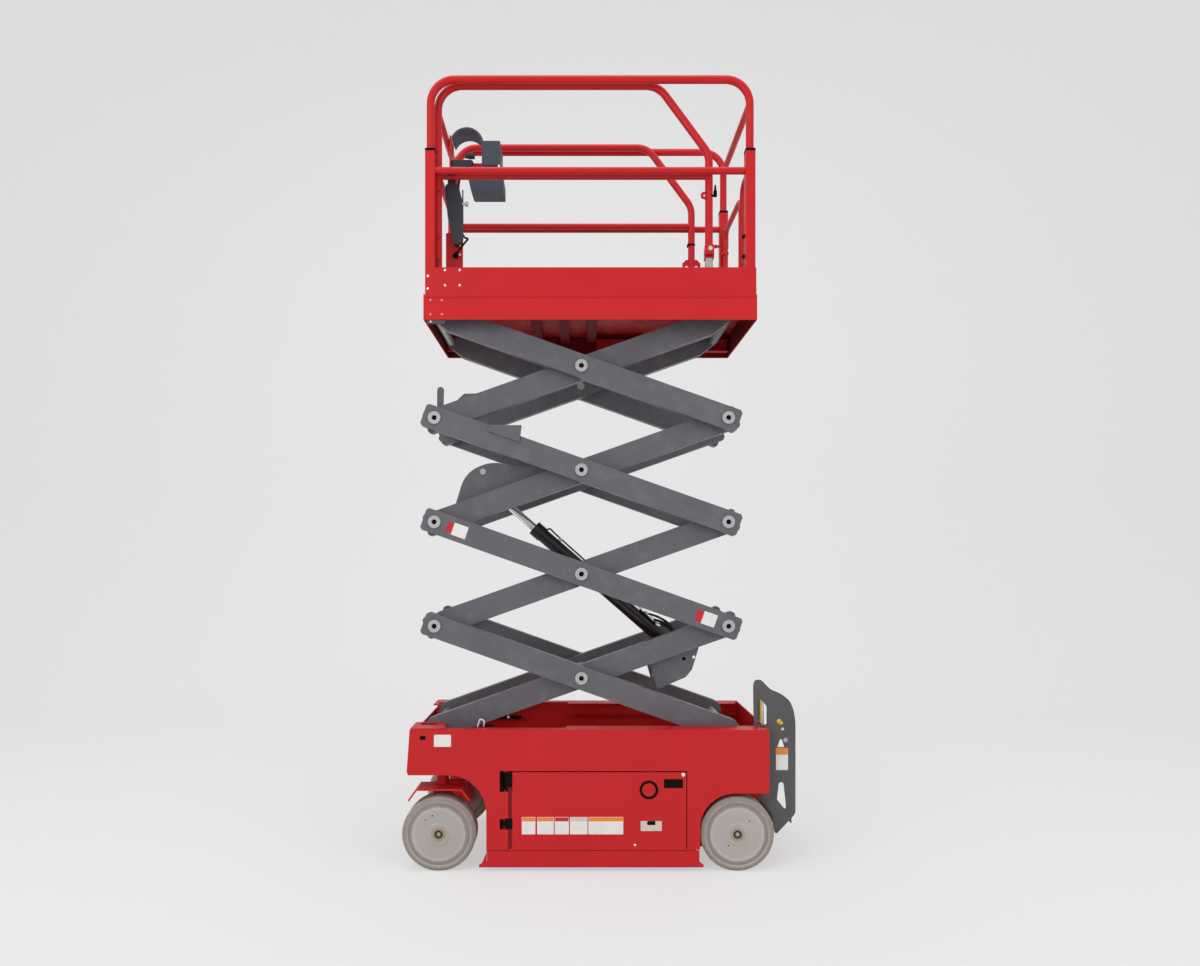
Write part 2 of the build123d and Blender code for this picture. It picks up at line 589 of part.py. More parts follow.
def ladder_plates():
    """Two shaped side plates at the rear, each with a hand opening and two lightening holes."""
    x, reach = CHASSIS_REAR_X, LADDER_REACH_X
    face = outline((x - 59, RIM_Z - 12), (x - 62, RIM_Z + 208), (x - 53, RIM_Z + 228), (x - 24, RIM_Z + 231),
                   (x + 21, RIM_Z + 183), (x + 71, RIM_Z + 163), (reach - 29, RIM_Z + 129),
                   (reach - 8, RIM_Z + 79), (reach, RIM_Z - 426), (x + 49, RIM_Z - 528),
                   (x + 37, RIM_Z - 502), (x + 32, RIM_Z - 440), (x, RIM_Z - 335), (x, RIM_Z - 12))
    face -= outline((x - 41, RIM_Z + 10), (x - 41, RIM_Z + 126), (x - 25, RIM_Z + 135), (x + 4, RIM_Z + 100),
                    (x + 4, RIM_Z + 10))
    face -= outline((x + 59, RIM_Z - 99), (x + 89, RIM_Z - 99), (x + 89, RIM_Z - 62))
    face -= outline((x + 61, RIM_Z - 412), (x + 99, RIM_Z - 412), (x + 91, RIM_Z - 280), (x + 73, RIM_Z - 272))
    near = side_plate(face, -LADDER_Y, -LADDER_Y + LADDER_T)
    near -= slab(x - LADDER_REACH, x, -LADDER_Y - 1, -LADDER_Y + LADDER_T + 1, 0, RIM_Z)
    return group(near, mirrored(near))


def ladder_steps():
    """Channel-section steps between the ladder plates."""
    steps = []
    for z in STEP_ZS:
        y = LADDER_Y - LADDER_T
        outer = slab(STEP_X0, STEP_X1, -y, y, z - STEP_H, z)
        outer -= slab(STEP_X0 + STEP_T, STEP_X1 - STEP_T, -y - 1, y + 1, z - STEP_H - 1, z - STEP_T)
        steps.append(outer)
    return group(*steps)


def door():
    """Near side door skin with its rear flange and hinge knuckles."""
    y = CHASSIS_HALF_W
    skin = slab(DOOR_X0, DOOR_X1, -y, -y + DOOR_T, DOOR_Z0, DOOR_Z1)
    for low, high in HINGE_CUTS_Z:
        z0, z1 = low + HINGE_EASE, high - HINGE_EASE
        arm = slab(DOOR_HINGE_X, DOOR_X0 + DOOR_HINGE_IN, -y + DOOR_T, -DOOR_HINGE_Y + DOOR_T, z0, z1)
        knuckle = rod_z(DOOR_HINGE_R, DOOR_HINGE_X, -DOOR_HINGE_Y, z0, z1)
        skin = skin + arm + knuckle
        skin -= rod_z(DOOR_PIN_R + RUN_CLEAR, DOOR_HINGE_X, -DOOR_HINGE_Y, z0 - 1, z1 + 1)
    return skin


def tray():
    """Swing-out tray behind the near door, open at the top."""
    y_out = CHASSIS_HALF_W - DOOR_T
    box = slab(TRAY_X0, TRAY_X1, -y_out, -TRAY_IN_Y, DOOR_Z0, DOOR_Z0 + TRAY_H)
    box -= slab(TRAY_X0 + TRAY_T, TRAY_X1 - TRAY_T, -y_out - 1, -TRAY_IN_Y - TRAY_T,
                DOOR_Z0 + TRAY_T, DOOR_Z0 + TRAY_H + 1)
    return box


def battery_pack():
    """The traction batteries as one block on the near tray."""
    floor = DOOR_Z0 + TRAY_T
    return slab(TRAY_X0 + PACK_EDGE, TRAY_X1 - PACK_EDGE, -CHASSIS_HALF_W + PACK_EDGE,
                -TRAY_IN_Y - PACK_EDGE + 10, floor, floor + BATTERY_H)


def hydraulic_pack():
    """Pump, motor and oil tank as one block on the far tray."""
    floor = DOOR_Z0 + TRAY_T
    return slab(TRAY_X0 + PACK_EDGE, TRAY_X1 - PACK_EDGE - HYDRAULIC_SHORT, TRAY_IN_Y + PACK_EDGE - 10,
                CHASSIS_HALF_W - PACK_EDGE, floor, floor + HYDRAULIC_H)


def guard():
    """Near pothole guard: a plate with a flared lower lip, hung on two hinge barrels."""
    lip = GUARD_Z0 + GUARD_LIP_H
    flare = lip + GUARD_FLARE_H
    tip0, tip1 = GUARD_X0 - GUARD_TIP_FRONT_OUT, GUARD_X1 + GUARD_TIP_REAR_OUT
    face = outline((GUARD_X0, GUARD_Z1), (GUARD_X0, flare), (tip0, lip), (tip0, GUARD_Z0), (tip1, GUARD_Z0),
                   (tip1, lip), (GUARD_X1, flare), (GUARD_X1, GUARD_Z1))
    outside = -CHASSIS_HALF_W + GUARD_INSET
    plate = side_plate(face, outside, outside + GUARD_T)
    for x in GUARD_HINGE_XS:
        x0, x1 = x - GUARD_HINGE_HALF, x + GUARD_HINGE_HALF
        plate += rod_x(GUARD_HINGE_R, x0, x1, -GUARD_HINGE_Y, GUARD_HINGE_Z)
        plate += slab(x0, x1, outside + GUARD_T, -GUARD_HINGE_Y, GUARD_HINGE_Z - 4, GUARD_HINGE_Z + 4)
        plate -= rod_x(GUARD_PIN_R + RUN_CLEAR, x0 - 1, x1 + 1, -GUARD_HINGE_Y, GUARD_HINGE_Z)
    return plate


# ------------------------------------------------------------------------------------ wheels, axles, steering
def wheel_pieces(x, side):
    """Tyre and disc wheel; side is -1 for near and 1 for far."""
    y_mid = CHASSIS_HALF_W - WHEEL_W / 2
    half = WHEEL_W / 2
    soft = TYRE_SOFT
    bead = RIM_R
    tyre_face = outline((bead, -half + 6), (bead + 8, -half), (WHEEL_R - soft, -half), (WHEEL_R, -half + soft),
                        (WHEEL_R, half - soft), (WHEEL_R - soft, half), (bead + 8, half), (bead, half - 6))
    tyre = revolve(Plane.XZ * tyre_face, Axis.Z)
    bore = SPINDLE_R + RUN_CLEAR
    disc_face = outline((bore, -half + 8), (bead, -half + 8), (bead, half - 4), (HUB_R + 8, half - 4),
                        (HUB_R, half), (bore, half))
    disc = revolve(Plane.XZ * disc_face, Axis.Z)
    turn = Rot(90, 0, 0) if side < 0 else Rot(-90, 0, 0)
    spot = Pos(x, side * y_mid, WHEEL_R) * turn
    return spot * tyre, spot * disc


def knuckle():
    """Near steering knuckle: kingpin, plate over the wheel with bent ends, drive motor and stub axle."""
    web_y = CHASSIS_HALF_W - WHEEL_W - WEB_GAP
    web_y = -web_y
    top, low = YOKE_Z + YOKE_T, YOKE_Z - YOKE_DROP + YOKE_T
    x = FRONT_AXLE_X
    plate_face = outline((x - YOKE_HALF, top), (x - YOKE_REACH, low), (x - YOKE_REACH + 6, low - 5),
                         (x - YOKE_HALF + 4, YOKE_Z), (x + YOKE_HALF - 4, YOKE_Z),
                         (x + YOKE_REACH - 6, low - 5), (x + YOKE_REACH, low), (x + YOKE_HALF, top))
    plate = side_plate(plate_face, -CHASSIS_HALF_W + YOKE_IN, web_y + WEB_T)
    web = slab(x - WEB_HALF, x + WEB_HALF, web_y, web_y + WEB_T, WHEEL_R - WEB_HALF - 15, YOKE_Z + 1)
    motor = rod_y(MOTOR_R, x, WHEEL_R, web_y, web_y + MOTOR_L)
    axle = rod_y(SPINDLE_R, x, WHEEL_R, -CHASSIS_HALF_W + 2 * SKIN, web_y + 5)
    boss = rod_z(2 * KINGPIN_R, KINGPIN_X, -KINGPIN_Y, YOKE_Z - 10, top + BOSS_H)
    pin = rod_z(KINGPIN_R, KINGPIN_X, -KINGPIN_Y, YOKE_Z, WELL_FLOOR_Z - 4 * SKIN)
    half = STEER_ARM_HALF
    arm = slab(KINGPIN_X, TIE_ROD_X + half, -KINGPIN_Y - half, -KINGPIN_Y + half, top, top + STEER_ARM_T)
    arm -= rod_z(TIE_ROD_R + RUN_CLEAR, TIE_ROD_X, -KINGPIN_Y, top - 5, top + STEER_ARM_T + 5)
    return fused(plate, web, motor, axle, boss, pin, arm)


def tie_rod():
    """Bar between the steering arms with a pin through each."""
    arm_top = YOKE_Z + YOKE_T + STEER_ARM_T
    z = arm_top + TIE_ROD_R + 4
    bar = rod_y(TIE_ROD_R, TIE_ROD_X, z, -KINGPIN_Y, KINGPIN_Y)
    for side in (-1, 1):
        bar += rod_z(TIE_ROD_R, TIE_ROD_X, side * KINGPIN_Y, YOKE_Z + YOKE_T + 1, z + TIE_ROD_R + 2)
        bar += rod_z(TIE_ROD_R + 4, TIE_ROD_X, side * KINGPIN_Y, arm_top + 1, z + TIE_ROD_R + 2)
    return bar


# --------------------------------------------------------------------------------------------- scissor stack
def stage_z(stage):
    """Height of the lower pins of a stage, counted from 1."""
    return BASE_PIN_Z + (stage - 1) * STAGE_H


def inner_place(stage):
    """From along-the-arm places to the model, for the inner frame of a stage."""
    return Pos(PIVOT_X, 0, stage_z(stage)) * Rot(0, -STACK_ANGLE, 0)


def outer_place(stage):
    """The same for the outer arms, measured from their upper front pin."""
    return Pos(PIVOT_X, 0, stage_z(stage + 1)) * Rot(0, STACK_ANGLE, 0)


def arm_outline(half, end, start_end, far_end, chamfer):
    """Side view of one arm, from its first pin at 0 to its last at ARM_L.

    Each end is square, round, or a neck that fits inside the platform skirts.
    """
    c = chamfer
    cut = NECK_LEN if start_end == "neck" else 0.0
    cut_far = NECK_LEN if far_end == "neck" else 0.0
    face = Pos((cut + ARM_L - cut_far) / 2, 0) * Rectangle(ARM_L - cut - cut_far, 2 * half)
    for at, kind, way in ((0.0, start_end, -1), (ARM_L, far_end, 1)):
        if kind == "round":
            face += Pos(at, 0) * Circle(half)
        elif kind == "neck":
            radius = NECK_R - ARM_HALF + half
            root = at - way * NECK_LEN
            face += Pos(at, 0) * Circle(radius)
            face += outline((root, -half), (at, -radius), (at, radius), (root, half))
        else:
            face += outline((at, -half), (at + way * (end - c), -half), (at + way * end, -half + c),
                            (at + way * end, half - c), (at + way * (end - c), half), (at, half))
    return face


def arm_beam(y0, start_end, far_end, bores):
    """One rectangular tube with a boss and bore at each pin; y0 is its inside face, on the far side."""
    outer = side_plate(arm_outline(ARM_HALF, ARM_END, start_end, far_end, ARM_CHAMFER), y0, y0 + ARM_W)
    inner = side_plate(arm_outline(ARM_HALF - ARM_WALL, ARM_END + 1, start_end, far_end, 1.0),
                       y0 + ARM_WALL, y0 + ARM_W - ARM_WALL)
    beam = outer - inner
    for at, radius in bores:
        necked = "neck" in (start_end if at == 0.0 else "", far_end if at == ARM_L else "")
        beam += rod_y(NECK_R - 1 if necked else COLLAR_R, at, 0, y0 + 1, y0 + ARM_W - 1)
    for at, radius in bores:
        if radius:
            beam -= rod_y(radius, at, 0, y0 - 1, y0 + ARM_W + 1)
    return beam


def inner_frame(stage):
    """Two inner arms welded to a cross tube at each end, with running bores for the pins."""
    last = stage == STAGES
    run = PIN_R + RUN_CLEAR
    bores = ((0.0, run), (ARM_L / 2, run), (ARM_L, 0.0 if last else run))
    far = arm_beam(INNER_Y, "round" if stage == 1 else "square", "neck" if last else "square", bores)
    frame = far + mirrored(far)
    for at in (0.0, ARM_L):
        frame += rod_y(CROSS_R, at, 0, -INNER_Y - 1, INNER_Y + 1)
    frame -= rod_y(run, 0, 0, -INNER_Y - ARM_W - 1, INNER_Y + ARM_W + 1)
    if last:
        bump = side_plate(outline((97, ARM_HALF - 4), (172, ARM_HALF + 29), (272, ARM_HALF - 4)),
                          INNER_Y, INNER_Y + BUMP_T)
        tab = outline((8, 37), (49, 150), (81, 139), (41, 36)) + Pos(65, 144) * Circle(TAB_R)
        frame += bump + mirrored(bump) + side_plate(tab, -INNER_Y - 1, -INNER_Y + BUMP_T)
        reach = CHANNEL_Y1 - CHANNEL_WALL - 4
        frame += rod_y(PIN_R, ARM_L, 0, -OUTER_Y - ARM_W, OUTER_Y + ARM_W)
        frame += rod_y(BLOCK_PIN_R, ARM_L, 0, -reach, reach)
    else:
        frame -= rod_y(run, ARM_L, 0, -INNER_Y - ARM_W - 1, INNER_Y + ARM_W + 1)
    return inner_place(stage) * frame


def outer_arms(stage):
    """The two outer arms of a stage."""
    first, last = stage == 1, stage == STAGES
    bores = tuple((at, PIN_R) for at in (0.0, ARM_L / 2, ARM_L))
    far = arm_beam(OUTER_Y, "neck" if last else "square", "round" if first else "square", bores)
    if stage == STAGES - 1:
        out = OUTER_Y + ARM_W
        bump = outline((272, ARM_HALF - 30), (272, ARM_HALF), (419, ARM_HALF + 52), (438, ARM_HALF - 30))
        far += side_plate(bump, out + BUMP_GAP, out + BUMP_T)
        far += slab(290, 420, out - 1, out + BUMP_GAP + 1, ARM_HALF - 28, ARM_HALF - 8)
    return outer_place(stage) * group(far, mirrored(far))


def pin_sockets(at):
    """The round hollows in both ends of a pin, to cut away from it."""
    deep = COLLAR_OUT_Y - SOCKET_DEPTH
    return (rod_y(SOCKET_R, at, 0, deep, COLLAR_OUT_Y + 1)
            + rod_y(SOCKET_R, at, 0, -COLLAR_OUT_Y - 1, -deep))


def stage_pins(stage):
    """Shafts through both ends of the outer arms and the short centre pins, each with its collars."""
    first, last = stage == 1, stage == STAGES
    arm_out = OUTER_Y + ARM_W
    upper = rod_y(PIN_R, 0, 0, -arm_out, arm_out)
    lower = rod_y(PIN_R, ARM_L, 0, -arm_out, arm_out)
    centre = rod_y(PIN_R, ARM_L / 2, 0, INNER_Y - 3, arm_out)
    centre += rod_y(COLLAR_R, ARM_L / 2, 0, arm_out, COLLAR_OUT_Y)
    centre -= pin_sockets(ARM_L / 2)
    if last:
        upper += rod_y(PIN_R, 0, 0, -COLLAR_OUT_Y - 12, COLLAR_OUT_Y + 12)
    else:
        for y0 in (-COLLAR_OUT_Y, arm_out):
            upper += rod_y(COLLAR_R, 0, 0, y0, y0 + COLLAR_T)
        upper -= pin_sockets(0)
    if first:
        reach = CHANNEL_Y1 - CHANNEL_WALL - 4
        lower += rod_y(BLOCK_PIN_R, ARM_L, 0, -reach, reach)
    else:
        for y0 in (-COLLAR_OUT_Y, arm_out):
            lower += rod_y(COLLAR_R, ARM_L, 0, y0, y0 + COLLAR_T)
        lower -= pin_sockets(ARM_L)
    return outer_place(stage) * group(upper, lower, centre, mirrored(centre))


def slide_blocks(x, z, above, below):
    """A pair of blocks on the ends of a shaft."""
    blocks = []
    for side in (-1, 1):
        y0, y1 = sorted((side * (CHANNEL_Y0 + 1), side * (CHANNEL_Y1 - CHANNEL_WALL - 1)))
        block = slab(x - BLOCK_LEN / 2, x + BLOCK_LEN / 2, y0, y1, z - below, z + above)
        blocks.append(block - rod_y(BLOCK_PIN_R + RUN_CLEAR, x, z, y0 - 1, y1 + 1))
    return group(*blocks)


# -------------------------------------------------------------------------------------------------- lift ram
def ram_frame():
    """Lower eye, rod eye, length and angle of the ram at rest."""
    base = inner_place(1) * Pos(RAM_BASE_U, 0, RAM_BASE_V)
    eye = inner_place(3) * Pos(RAM_EYE_U, 0, RAM_EYE_V)
    p, q = base.position, eye.position
    dx, dz = q.X - p.X, q.Z - p.Z
    return p, q, math.hypot(dx, dz), math.degrees(math.atan2(dz, dx))


def ram_lug_lower():
    """Gusset plates welded inside the first inner arms, with the lower ram pin between them."""
    u, v, root = RAM_BASE_U, RAM_BASE_V, -CROSS_R + 10
    face = outline((u - 183, root), (u - 194, v - 80), (u - 39, v - 70), (u + 5, v - 43), (u + 77, v + 55),
                   (u + 86, root))
    plates = []
    for side in (-1, 1):
        y0, y1 = sorted((side * (INNER_Y - LUG_T), side * INNER_Y))
        plates.append(side_plate(face, y0, y1))
    body = plates[0] + plates[1] + rod_y(RAM_PIN_R, u, v, -INNER_Y + 1, INNER_Y - 1)
    body += rod_y(RAM_PIN_R, u - 169, v - 62, -INNER_Y + 1, INNER_Y - 1)
    for side in (-1, 1):
        y0, y1 = sorted((side * (INNER_Y - 5), side * (INNER_Y + 1)))
        body -= rod_y(SOCKET_R - 2, u, v, y0, y1)
    body -= rod_y(8, u + 34, v + 12, -INNER_Y - 1, INNER_Y + 1)
    return inner_place(1) * body


def ram_lug_upper():
    """Humped plates inside the third inner arms, each with a stub pin beside the rod eye."""
    u, v, root = RAM_EYE_U, RAM_EYE_V, ARM_HALF - 17
    edge = Curve() + [
        Line((u - 171, root), (u - 96, v + 10)),
        ThreePointArc((u - 96, v + 10), (u - 36, v + 57), (u + 29, v + 70)),
        ThreePointArc((u + 29, v + 70), (u + 94, v + 63), (u + 147, v + 36)),
        Polyline((u + 147, v + 36), (u + 269, v - 24), (u + 379, root), (u - 171, root)),
    ]
    face = make_face(edge)
    plates = []
    for side in (-1, 1):
        y0, y1 = sorted((side * HUMP_Y, side * (HUMP_Y + LUG_T)))
        plate = side_plate(face, y0, y1)
        pad0, pad1 = sorted((side * (HUMP_Y + LUG_T), side * INNER_Y))
        plate += slab(u - 131, u + 329, pad0, pad1, root, ARM_HALF - ARM_WALL)
        stub0, stub1 = sorted((side * (EYE_HALF_W + 16), side * HUMP_Y))
        plate += rod_y(CROSS_R, u, v, stub0, stub1)
        tip0, tip1 = sorted((side * (EYE_HALF_W + 1.3), side * HUMP_Y))
        plate += rod_y(RAM_PIN_R, u, v, tip0, tip1)
        plates.append(plate)
    return inner_place(3) * group(*plates)


def ram_barrel():
    """Barrel with its lower eye and gland."""
    p, q, length, angle = ram_frame()
    gland = BARREL_LEN - GLAND_LEN
    body = rod_x(BARREL_R, EYE_R / 2, BARREL_LEN, 0, 0) + rod_y(EYE_R, 0, 0, -EYE_HALF_W, EYE_HALF_W)
    body += rod_x(BARREL_R + GLAND_LIP, gland, BARREL_LEN, 0, 0)
    body -= rod_x(BARREL_BORE_R, 2 * EYE_R + 4, gland + 10, 0, 0)
    body -= rod_x(ROD_R + RUN_CLEAR, gland, BARREL_LEN + 1, 0, 0)
    body -= rod_y(RAM_PIN_R + RUN_CLEAR, 0, 0, -EYE_HALF_W - 1, EYE_HALF_W + 1)
    return Pos(p.X, 0, p.Z) * Rot(0, -angle, 0) * body


def ram_rod():
    """Rod with its piston, its eye and the middle of the pin."""
    p, q, length, angle = ram_frame()
    inside = BARREL_LEN - ROD_INSIDE
    body = rod_x(ROD_R, inside, length, 0, 0)
    body += rod_x(BARREL_BORE_R - PISTON_GAP, inside - PISTON_L, inside, 0, 0)
    body += rod_y(EYE_R - 4, length, 0, -EYE_HALF_W, EYE_HALF_W)
    return Pos(p.X, 0, p.Z) * Rot(0, -angle, 0) * body


# -------------------------------------------------------------------------------------------------- platform
def deck_frame():
    """Skirts all round with three bearers under the floor."""
    y = DECK_HALF_W
    frame = slab(DECK_X0, DECK_X1, -y, y, SKIRT_Z0, FLOOR_Z0)
    frame -= slab(DECK_X0 + SKIN, DECK_X1 - SKIN, -y + SKIN, y - SKIN, SKIRT_Z0 - 1, FLOOR_Z0 + 1)
    for start in BEARERS:
        x0, x1 = PIVOT_X + start - BEARER_W / 2, PIVOT_X + start + BEARER_W / 2
        frame += slab(x0, x1, -y + SKIN, y - SKIN, FLOOR_Z0 - BEARER_DEPTH, FLOOR_Z0)
    return frame


def deck_floor():
    """Floor plate."""
    return slab(DECK_X0, DECK_X1, -DECK_HALF_W, DECK_HALF_W, FLOOR_Z0, FLOOR_TOP)


def deck_mounts():
    """Pivot lugs at the front and the two channels that the upper blocks slide in."""
    pieces = []
    low = TOP_PIN_Z - TOP_BLOCK_HALF - BLOCK_GAP
    high = TOP_PIN_Z + TOP_BLOCK_HALF + BLOCK_GAP
    for side in (-1, 1):
        y0, y1 = sorted((side * (COLLAR_OUT_Y + 1), side * (COLLAR_OUT_Y + 1 + DECK_WEB_T)))
        foot = TOP_PIN_Z - COLLAR_R - 5
        lug = side_plate(outline((PIVOT_X - CROSS_R, foot), (PIVOT_X + 50, foot), (PIVOT_X + NECK_LEN, FLOOR_Z0),
                                 (PIVOT_X - CROSS_R, FLOOR_Z0)), y0, y1)
        pieces.append(lug - rod_y(PIN_R + RUN_CLEAR, PIVOT_X, TOP_PIN_Z, y0 - 1, y1 + 1))
        y0, y1 = sorted((side * CHANNEL_Y0, side * CHANNEL_Y1))
        channel = slab(CHANNEL_X0, DECK_X1 - DECK_CHANNEL_TAIL, y0, y1,
                       low - CHANNEL_WALL, high + CHANNEL_WALL)
        in0, in1 = sorted((side * (CHANNEL_Y0 - 1), side * (CHANNEL_Y1 - CHANNEL_WALL)))
        channel -= slab(CHANNEL_X0 - 1, CHANNEL_X1 + 1, in0, in1, low, high)
        w0, w1 = sorted((side * CHANNEL_Y1, side * (DECK_HALF_W - SKIN)))
        middle = (CHANNEL_X0 + DECK_X1) / 2
        for x in (CHANNEL_X0 + 40, middle, DECK_X1 - 47):
            channel += slab(x - DECK_WEB_T / 2, x + DECK_WEB_T / 2, w0, w1, low, high)
        pieces.append(channel)
    return group(*pieces)


def toe_boards():
    """Side toe boards outside the skirts and the rear one across the end."""
    y = DECK_HALF_W
    boards = []
    for side in (-1, 1):
        y0, y1 = sorted((side * y, side * (y + TOE_T)))
        boards.append(slab(TOE_X0, TOE_X1, y0, y1, TOE_Z0, TOE_Z1))
    rear = slab(TOE_X1, TOE_X1 + TOE_T, -y + 0.5, y - 0.5, FLOOR_TOP, TOE_Z1)
    boards.append(rear)
    return group(*boards)


def rail_posts():
    """Square lower posts that the rail legs plug into."""
    posts = []
    for x in (LEG_FRONT_X, LEG_REAR_X):
        for side in (-1, 1):
            inside = POST_W / 2 - POST_WALL
            y = side * RAIL_Y
            post = slab(x - POST_W / 2, x + POST_W / 2, y - POST_W / 2, y + POST_W / 2, FLOOR_TOP, POST_TOP_Z)
            post -= slab(x - inside, x + inside, y - inside, y + inside, FLOOR_TOP - 1, POST_TOP_Z + 1)
            if x == LEG_REAR_X and side > 0:
                for height in GATE_STRAPS:
                    z0, z1 = FLOOR_TOP + height - STRAP_HALF, FLOOR_TOP + height + STRAP_HALF
                    y0, y1 = GATE_HINGE_Y - GATE_R - 6, y - POST_W / 2
                    strap = slab(GATE_X - GATE_R - 6, GATE_X + GATE_R, y0, y1, z0, z1)
                    post += strap - rod_z(GATE_R + RUN_CLEAR, GATE_X, GATE_HINGE_Y, z0 - 1, z1 + 1)
            elif x == LEG_REAR_X:
                post += gate_stop()
            posts.append(post)
    return group(*posts)


def main_rails():
    """Top hoops with their legs, mid rails and the cross rail over the gate."""
    foot = POST_TOP_Z - LEG_PLUG
    pieces = []
    for side in (-1, 1):
        y = side * RAIL_Y
        hoop = tube_along([(LEG_FRONT_X, y, foot), (LEG_FRONT_X, y, RAIL_TOP_Z), (LEG_REAR_X, y, RAIL_TOP_Z),
                           (LEG_REAR_X, y, foot)], CORNER_R, RAIL_R)
        pieces.append(hoop)
        pieces.append(rod_x(MID_RAIL_R, LEG_FRONT_X + POST_W / 2, LEG_REAR_X - POST_W / 2, y, MID_RAIL_Z))
    cross = rod_y(CROSS_RAIL_R, LEG_REAR_X, RAIL_TOP_Z - CORNER_R, -RAIL_Y, RAIL_Y)
    hoops = pieces[0] + cross + pieces[2]
    return group(hoops, pieces[1], pieces[3])


def gate():
    """Rear gate: a round-cornered frame hung on the far post."""
    low, top, foot = GATE_LOW_Z, GATE_TOP_Z, GATE_LOW_Z - GATE_FOOT
    frame = tube_along([(GATE_X, GATE_HINGE_Y, foot), (GATE_X, GATE_HINGE_Y, top), (GATE_X, GATE_FREE_Y, top),
                        (GATE_X, GATE_FREE_Y, foot)], GATE_CORNER_R, GATE_R)
    return frame + rod_y(GATE_R - 2, GATE_X, low, GATE_FREE_Y, GATE_HINGE_Y)


def gate_stop():
    """Fixed hoop on the near side of the gate."""
    top = GATE_TOP_Z + STOP_RISE
    return tube_along([(GATE_X, GATE_STOP_Y, FLOOR_TOP), (GATE_X, GATE_STOP_Y, top),
                       (GATE_X, -RAIL_Y + POST_W / 2, top)], GATE_CORNER_R, GATE_R)


def extension_deck():
    """Roll-out deck: thin floor with side and front toe boards."""
    y = EXT_HALF_W
    deck = slab(EXT_X0, EXT_X1, -y, y, EXT_Z0, EXT_TOP)
    for side in (-1, 1):
        y0, y1 = sorted((side * (y - TOE_T), side * y))
        deck += slab(EXT_X0, EXT_X1, y0, y1, EXT_Z0, TOE_Z1 - EXT_TOE_DROP)
    deck += slab(EXT_X0, EXT_X0 + TOE_T, -y, y, EXT_Z0, TOE_Z1 - EXT_TOE_DROP)
    return deck


def extension_rails():
    """Side rails that slope down to their rear posts, and the cross rails over the front."""
    rails = []
    for side in (-1, 1):
        y = side * EXT_RAIL_Y
        hoop = [(EXT_POST_X, y, EXT_TOP), (EXT_POST_X, y, RAIL_TOP_Z), (EXT_SLOPE_X0, y, RAIL_TOP_Z),
                (EXT_SLOPE_X1, y, EXT_SLOPE_Z), (EXT_SLOPE_X1, y, EXT_TOP)]
        rails.append(tube_along(hoop, CORNER_R, RAIL_R))
        rails.append(rod_x(CROSS_RAIL_R, EXT_POST_X, EXT_SLOPE_X1, y, EXT_MID_Z))
    for z in (EXT_FRONT_Z, EXT_MID_Z):
        rails.append(rod_y(CROSS_RAIL_R, EXT_POST_X, z, -EXT_RAIL_Y, EXT_RAIL_Y))
    x, top = EXT_SLOPE_X1, EXT_TOP + FLANGE_H
    half = FLANGE_HALF_L
    face = outline((x - half, EXT_TOP), (x - half, top - 20), (x - half + 20, top), (x + half - 20, top),
                   (x + half, top - 20), (x + half, EXT_TOP))
    for out in (-FLANGE_HOLE_OUT, FLANGE_HOLE_OUT):
        face -= Pos(x + out, top - FLANGE_HOLE_DROP) * Circle(FLANGE_HOLE_R)
    rails.append(side_plate(face, EXT_RAIL_Y - SKIN / 2, EXT_RAIL_Y + SKIN / 2))
    latch_z = EXT_TOP + LATCH_Z0
    latch = slab(x - LATCH_HALF, x + LATCH_HALF, -EXT_RAIL_Y - LATCH_HALF, -EXT_RAIL_Y + LATCH_HALF,
                 latch_z, latch_z + LATCH_H)
    rails.append(latch)
    return fused(*rails)


def control_box():
    """Upper control box with the lower housing under it and the bowed guard over it."""
    upper = slab(BOX_X0, BOX_X1, -BOX_HALF_W, BOX_HALF_W, BOX_Z0, BOX_Z1)
    upper = fillet(upper.edges().filter_by(Axis.Y), BOX_FILLET)
    neck = slab(BOX_X0 + 20, BOX_X1 - 20, -BOX_HALF_W / 2, BOX_HALF_W / 2, HOUSING_Z1 - 1, BOX_Z0 + 1)
    face = outline((HOUSING_X0, HOUSING_Z1), (HOUSING_X0 + 14, HOUSING_Z0 + 6), (HOUSING_X0 + 22, HOUSING_Z0),
                   (HOUSING_X1, HOUSING_Z0), (HOUSING_X1, HOUSING_Z1))
    housing = side_plate(face, -BOX_HALF_W + 10, BOX_HALF_W - 10)
    start = (MOUNT_X + MOUNT_T + BOW_T, BOX_Z1 + BOW_RISE / 3)
    crown = ((MOUNT_X + BOX_X0) / 2, BOX_Z1 + BOW_RISE)
    arc = Plane.XZ * ThreePointArc(start, crown, (BOX_X0 + 3, BOX_Z1 - BOX_FILLET))
    bow = sweep(Plane(origin=arc @ 0, z_dir=arc % 0) * Rectangle(BOW_T, 2 * BOX_HALF_W - 20), path=arc)
    return fused(upper, neck, housing, bow)


def control_mount():
    """Bracket from the front cross rail to the control box."""
    z = BOX_Z0 + 22
    x = MOUNT_X
    plate = slab(x, x + MOUNT_T, -BOX_HALF_W + 20, BOX_HALF_W - 20, z - 20, EXT_FRONT_Z + 24)
    bar = slab(x + MOUNT_T, BOX_X0, -25, 25, z - 12, z + 12)
    return fused(plate, bar)


